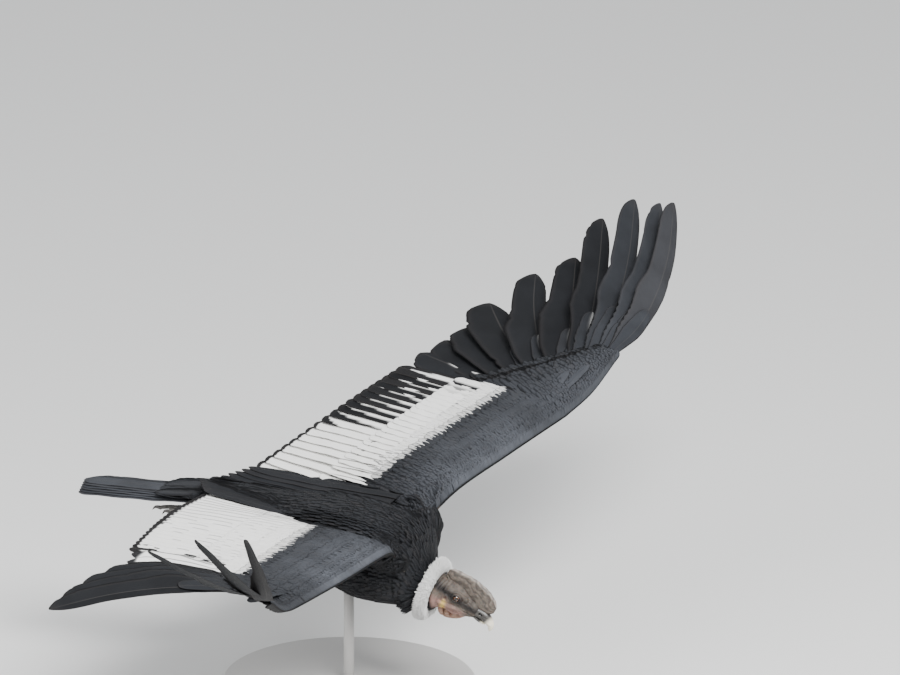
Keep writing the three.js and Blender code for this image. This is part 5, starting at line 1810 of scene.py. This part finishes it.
class LightSettings(bpy.types.PropertyGroup):
    """The studio's soft light."""

    key: FloatProperty(name="Key", description="Power of the main lamp", default=900.0, unit="POWER")
    fill: FloatProperty(name="Fill", description="Power of the weaker lamp", default=200.0, unit="POWER")
    floor: FloatProperty(name="Floor", description="Breadth of the floor", default=60.0, unit="LENGTH")


class StandSettings(bpy.types.PropertyGroup):
    """The paint of the stand."""

    base: FloatVectorProperty(
        name="Base", description="Colour of the base", subtype="COLOR", size=3, default=(0.5, 0.49, 0.475),
    )
    rod: FloatVectorProperty(
        name="Rod", description="Colour of the rod", subtype="COLOR", size=3, default=(0.5, 0.49, 0.475),
    )


class BuildOperator:
    """What the operators of all the pieces share: the frame must be loaded, and execute runs build."""

    bl_options = {"REGISTER", "UNDO"}

    def execute(self, context):
        """Builds the piece, or fails with what is missing."""
        if frame is None:
            raise RuntimeError("the packed frame is not loaded")
        self.build(context.scene)
        return {"FINISHED"}


class CONDOR_OT_skin(BuildOperator, bpy.types.Operator):
    """Make the one skin of head, neck, trunk, wings and legs"""

    bl_idname = "condor.skin"
    bl_label = "Skin"

    def build(self, scene):
        """Builds the skin."""
        build_skin(material("bare_skin"))


class CONDOR_OT_wings(BuildOperator, bpy.types.Operator):
    """Make the flight feathers and the coverts of both wings"""

    bl_idname = "condor.wings"
    bl_label = "Wings"

    def build(self, scene):
        """Builds both wings."""
        for side in WINGS:
            build_flight_feathers(side, material("plumage"))
            build_coverts(side, material("plumage"))
            build_wing_coat(side, material("plumage"))


class CONDOR_OT_body(BuildOperator, bpy.types.Operator):
    """Make the coat of the trunk, the shoulders and the thighs"""

    bl_idname = "condor.body"
    bl_label = "Body coat"

    def build(self, scene):
        """Builds the coat."""
        build_body_coat(material("plumage"))
        for side in WINGS:
            build_shoulder_coat(side, material("plumage"))
            build_leg_coat(side, material("plumage"))


class CONDOR_OT_tail(BuildOperator, bpy.types.Operator):
    """Make the tail"""

    bl_idname = "condor.tail"
    bl_label = "Tail"

    def build(self, scene):
        """Builds the tail."""
        build_tail(material("plumage"))


class CONDOR_OT_feet(BuildOperator, bpy.types.Operator):
    """Make the feet and claws"""

    bl_idname = "condor.feet"
    bl_label = "Feet"

    def build(self, scene):
        """Builds both feet."""
        for side in WINGS:
            build_foot(side, material("scaled_leg"), material("horn"))


class CONDOR_OT_ruff(BuildOperator, bpy.types.Operator):
    """Make the white ruff"""

    bl_idname = "condor.ruff"
    bl_label = "Ruff"

    def build(self, scene):
        """Builds the ruff."""
        build_ruff(material("down"))


class CONDOR_OT_head(BuildOperator, bpy.types.Operator):
    """Make the comb, wattle, bill and eyes"""

    bl_idname = "condor.head"
    bl_label = "Head"

    def build(self, scene):
        """Builds what stands on the skull."""
        build_comb(material("comb_skin"))
        build_wattle(material("bare_skin"))
        build_bill(material("horn"))
        for side in WINGS:
            build_eye(side, material("eyeball"), material("cornea"))


class CONDOR_OT_stand(BuildOperator, bpy.types.Operator):
    """Make the display stand"""

    bl_idname = "condor.stand"
    bl_label = "Stand"

    def build(self, scene):
        """Builds the base and the rod."""
        settings = scene.condor_stand
        build_stand(paint("base_paint", tuple(settings.base)), paint("rod_paint", tuple(settings.rod)))


class CONDOR_OT_stage(BuildOperator, bpy.types.Operator):
    """Set up the camera, the floor and the light"""

    bl_idname = "condor.stage"
    bl_label = "Stage"

    def build(self, scene):
        """Builds the stage."""
        view, light = scene.condor_camera, scene.condor_light
        build_camera(view.azimuth, view.elevation, view.distance, view.scale, view.shoulder, view.picture)
        build_floor(light.floor)
        build_lamp("key", (3.5, -2.5, 5.5), 3.5, light.key)
        build_lamp("fill", (-3.5, -4.0, 3.0), 4.0, light.fill)
        build_world()


OPERATORS = (
    CONDOR_OT_stage, CONDOR_OT_skin, CONDOR_OT_wings, CONDOR_OT_body, CONDOR_OT_tail, CONDOR_OT_feet,
    CONDOR_OT_ruff, CONDOR_OT_head, CONDOR_OT_stand,
)


class CONDOR_PT_pieces(bpy.types.Panel):
    """The pieces, each with its button"""

    bl_idname = "CONDOR_PT_pieces"
    bl_label = "Condor"
    bl_space_type = "VIEW_3D"
    bl_region_type = "UI"
    bl_category = "Condor"

    def draw(self, context):
        """Lists the operators and the settings."""
        for operator in OPERATORS:
            self.layout.operator(operator.bl_idname)
        for settings, names in (
            (context.scene.condor_camera, ("azimuth", "elevation", "distance", "scale")),
            (context.scene.condor_light, ("key", "fill", "floor")),
            (context.scene.condor_stand, ("base", "rod")),
        ):
            for name in names:
                self.layout.prop(settings, name)


SETTINGS = {"condor_camera": CameraSettings, "condor_light": LightSettings, "condor_stand": StandSettings}


def register():
    """Registers the settings, the operators and the panel."""
    for name, group in SETTINGS.items():
        bpy.utils.register_class(group)
        setattr(bpy.types.Scene, name, PointerProperty(type=group))
    for kind in (*OPERATORS, CONDOR_PT_pieces):
        bpy.utils.register_class(kind)


def unregister():
    """Takes them all away again."""
    for kind in (CONDOR_PT_pieces, *reversed(OPERATORS)):
        bpy.utils.unregister_class(kind)
    for name, group in SETTINGS.items():
        delattr(bpy.types.Scene, name)
        bpy.utils.unregister_class(group)


def main():
    """Builds every piece."""
    register()
    for operator in OPERATORS:
        _, name = operator.bl_idname.split(".")
        getattr(bpy.ops.condor, name)()


if __name__ == "__main__":
    main()
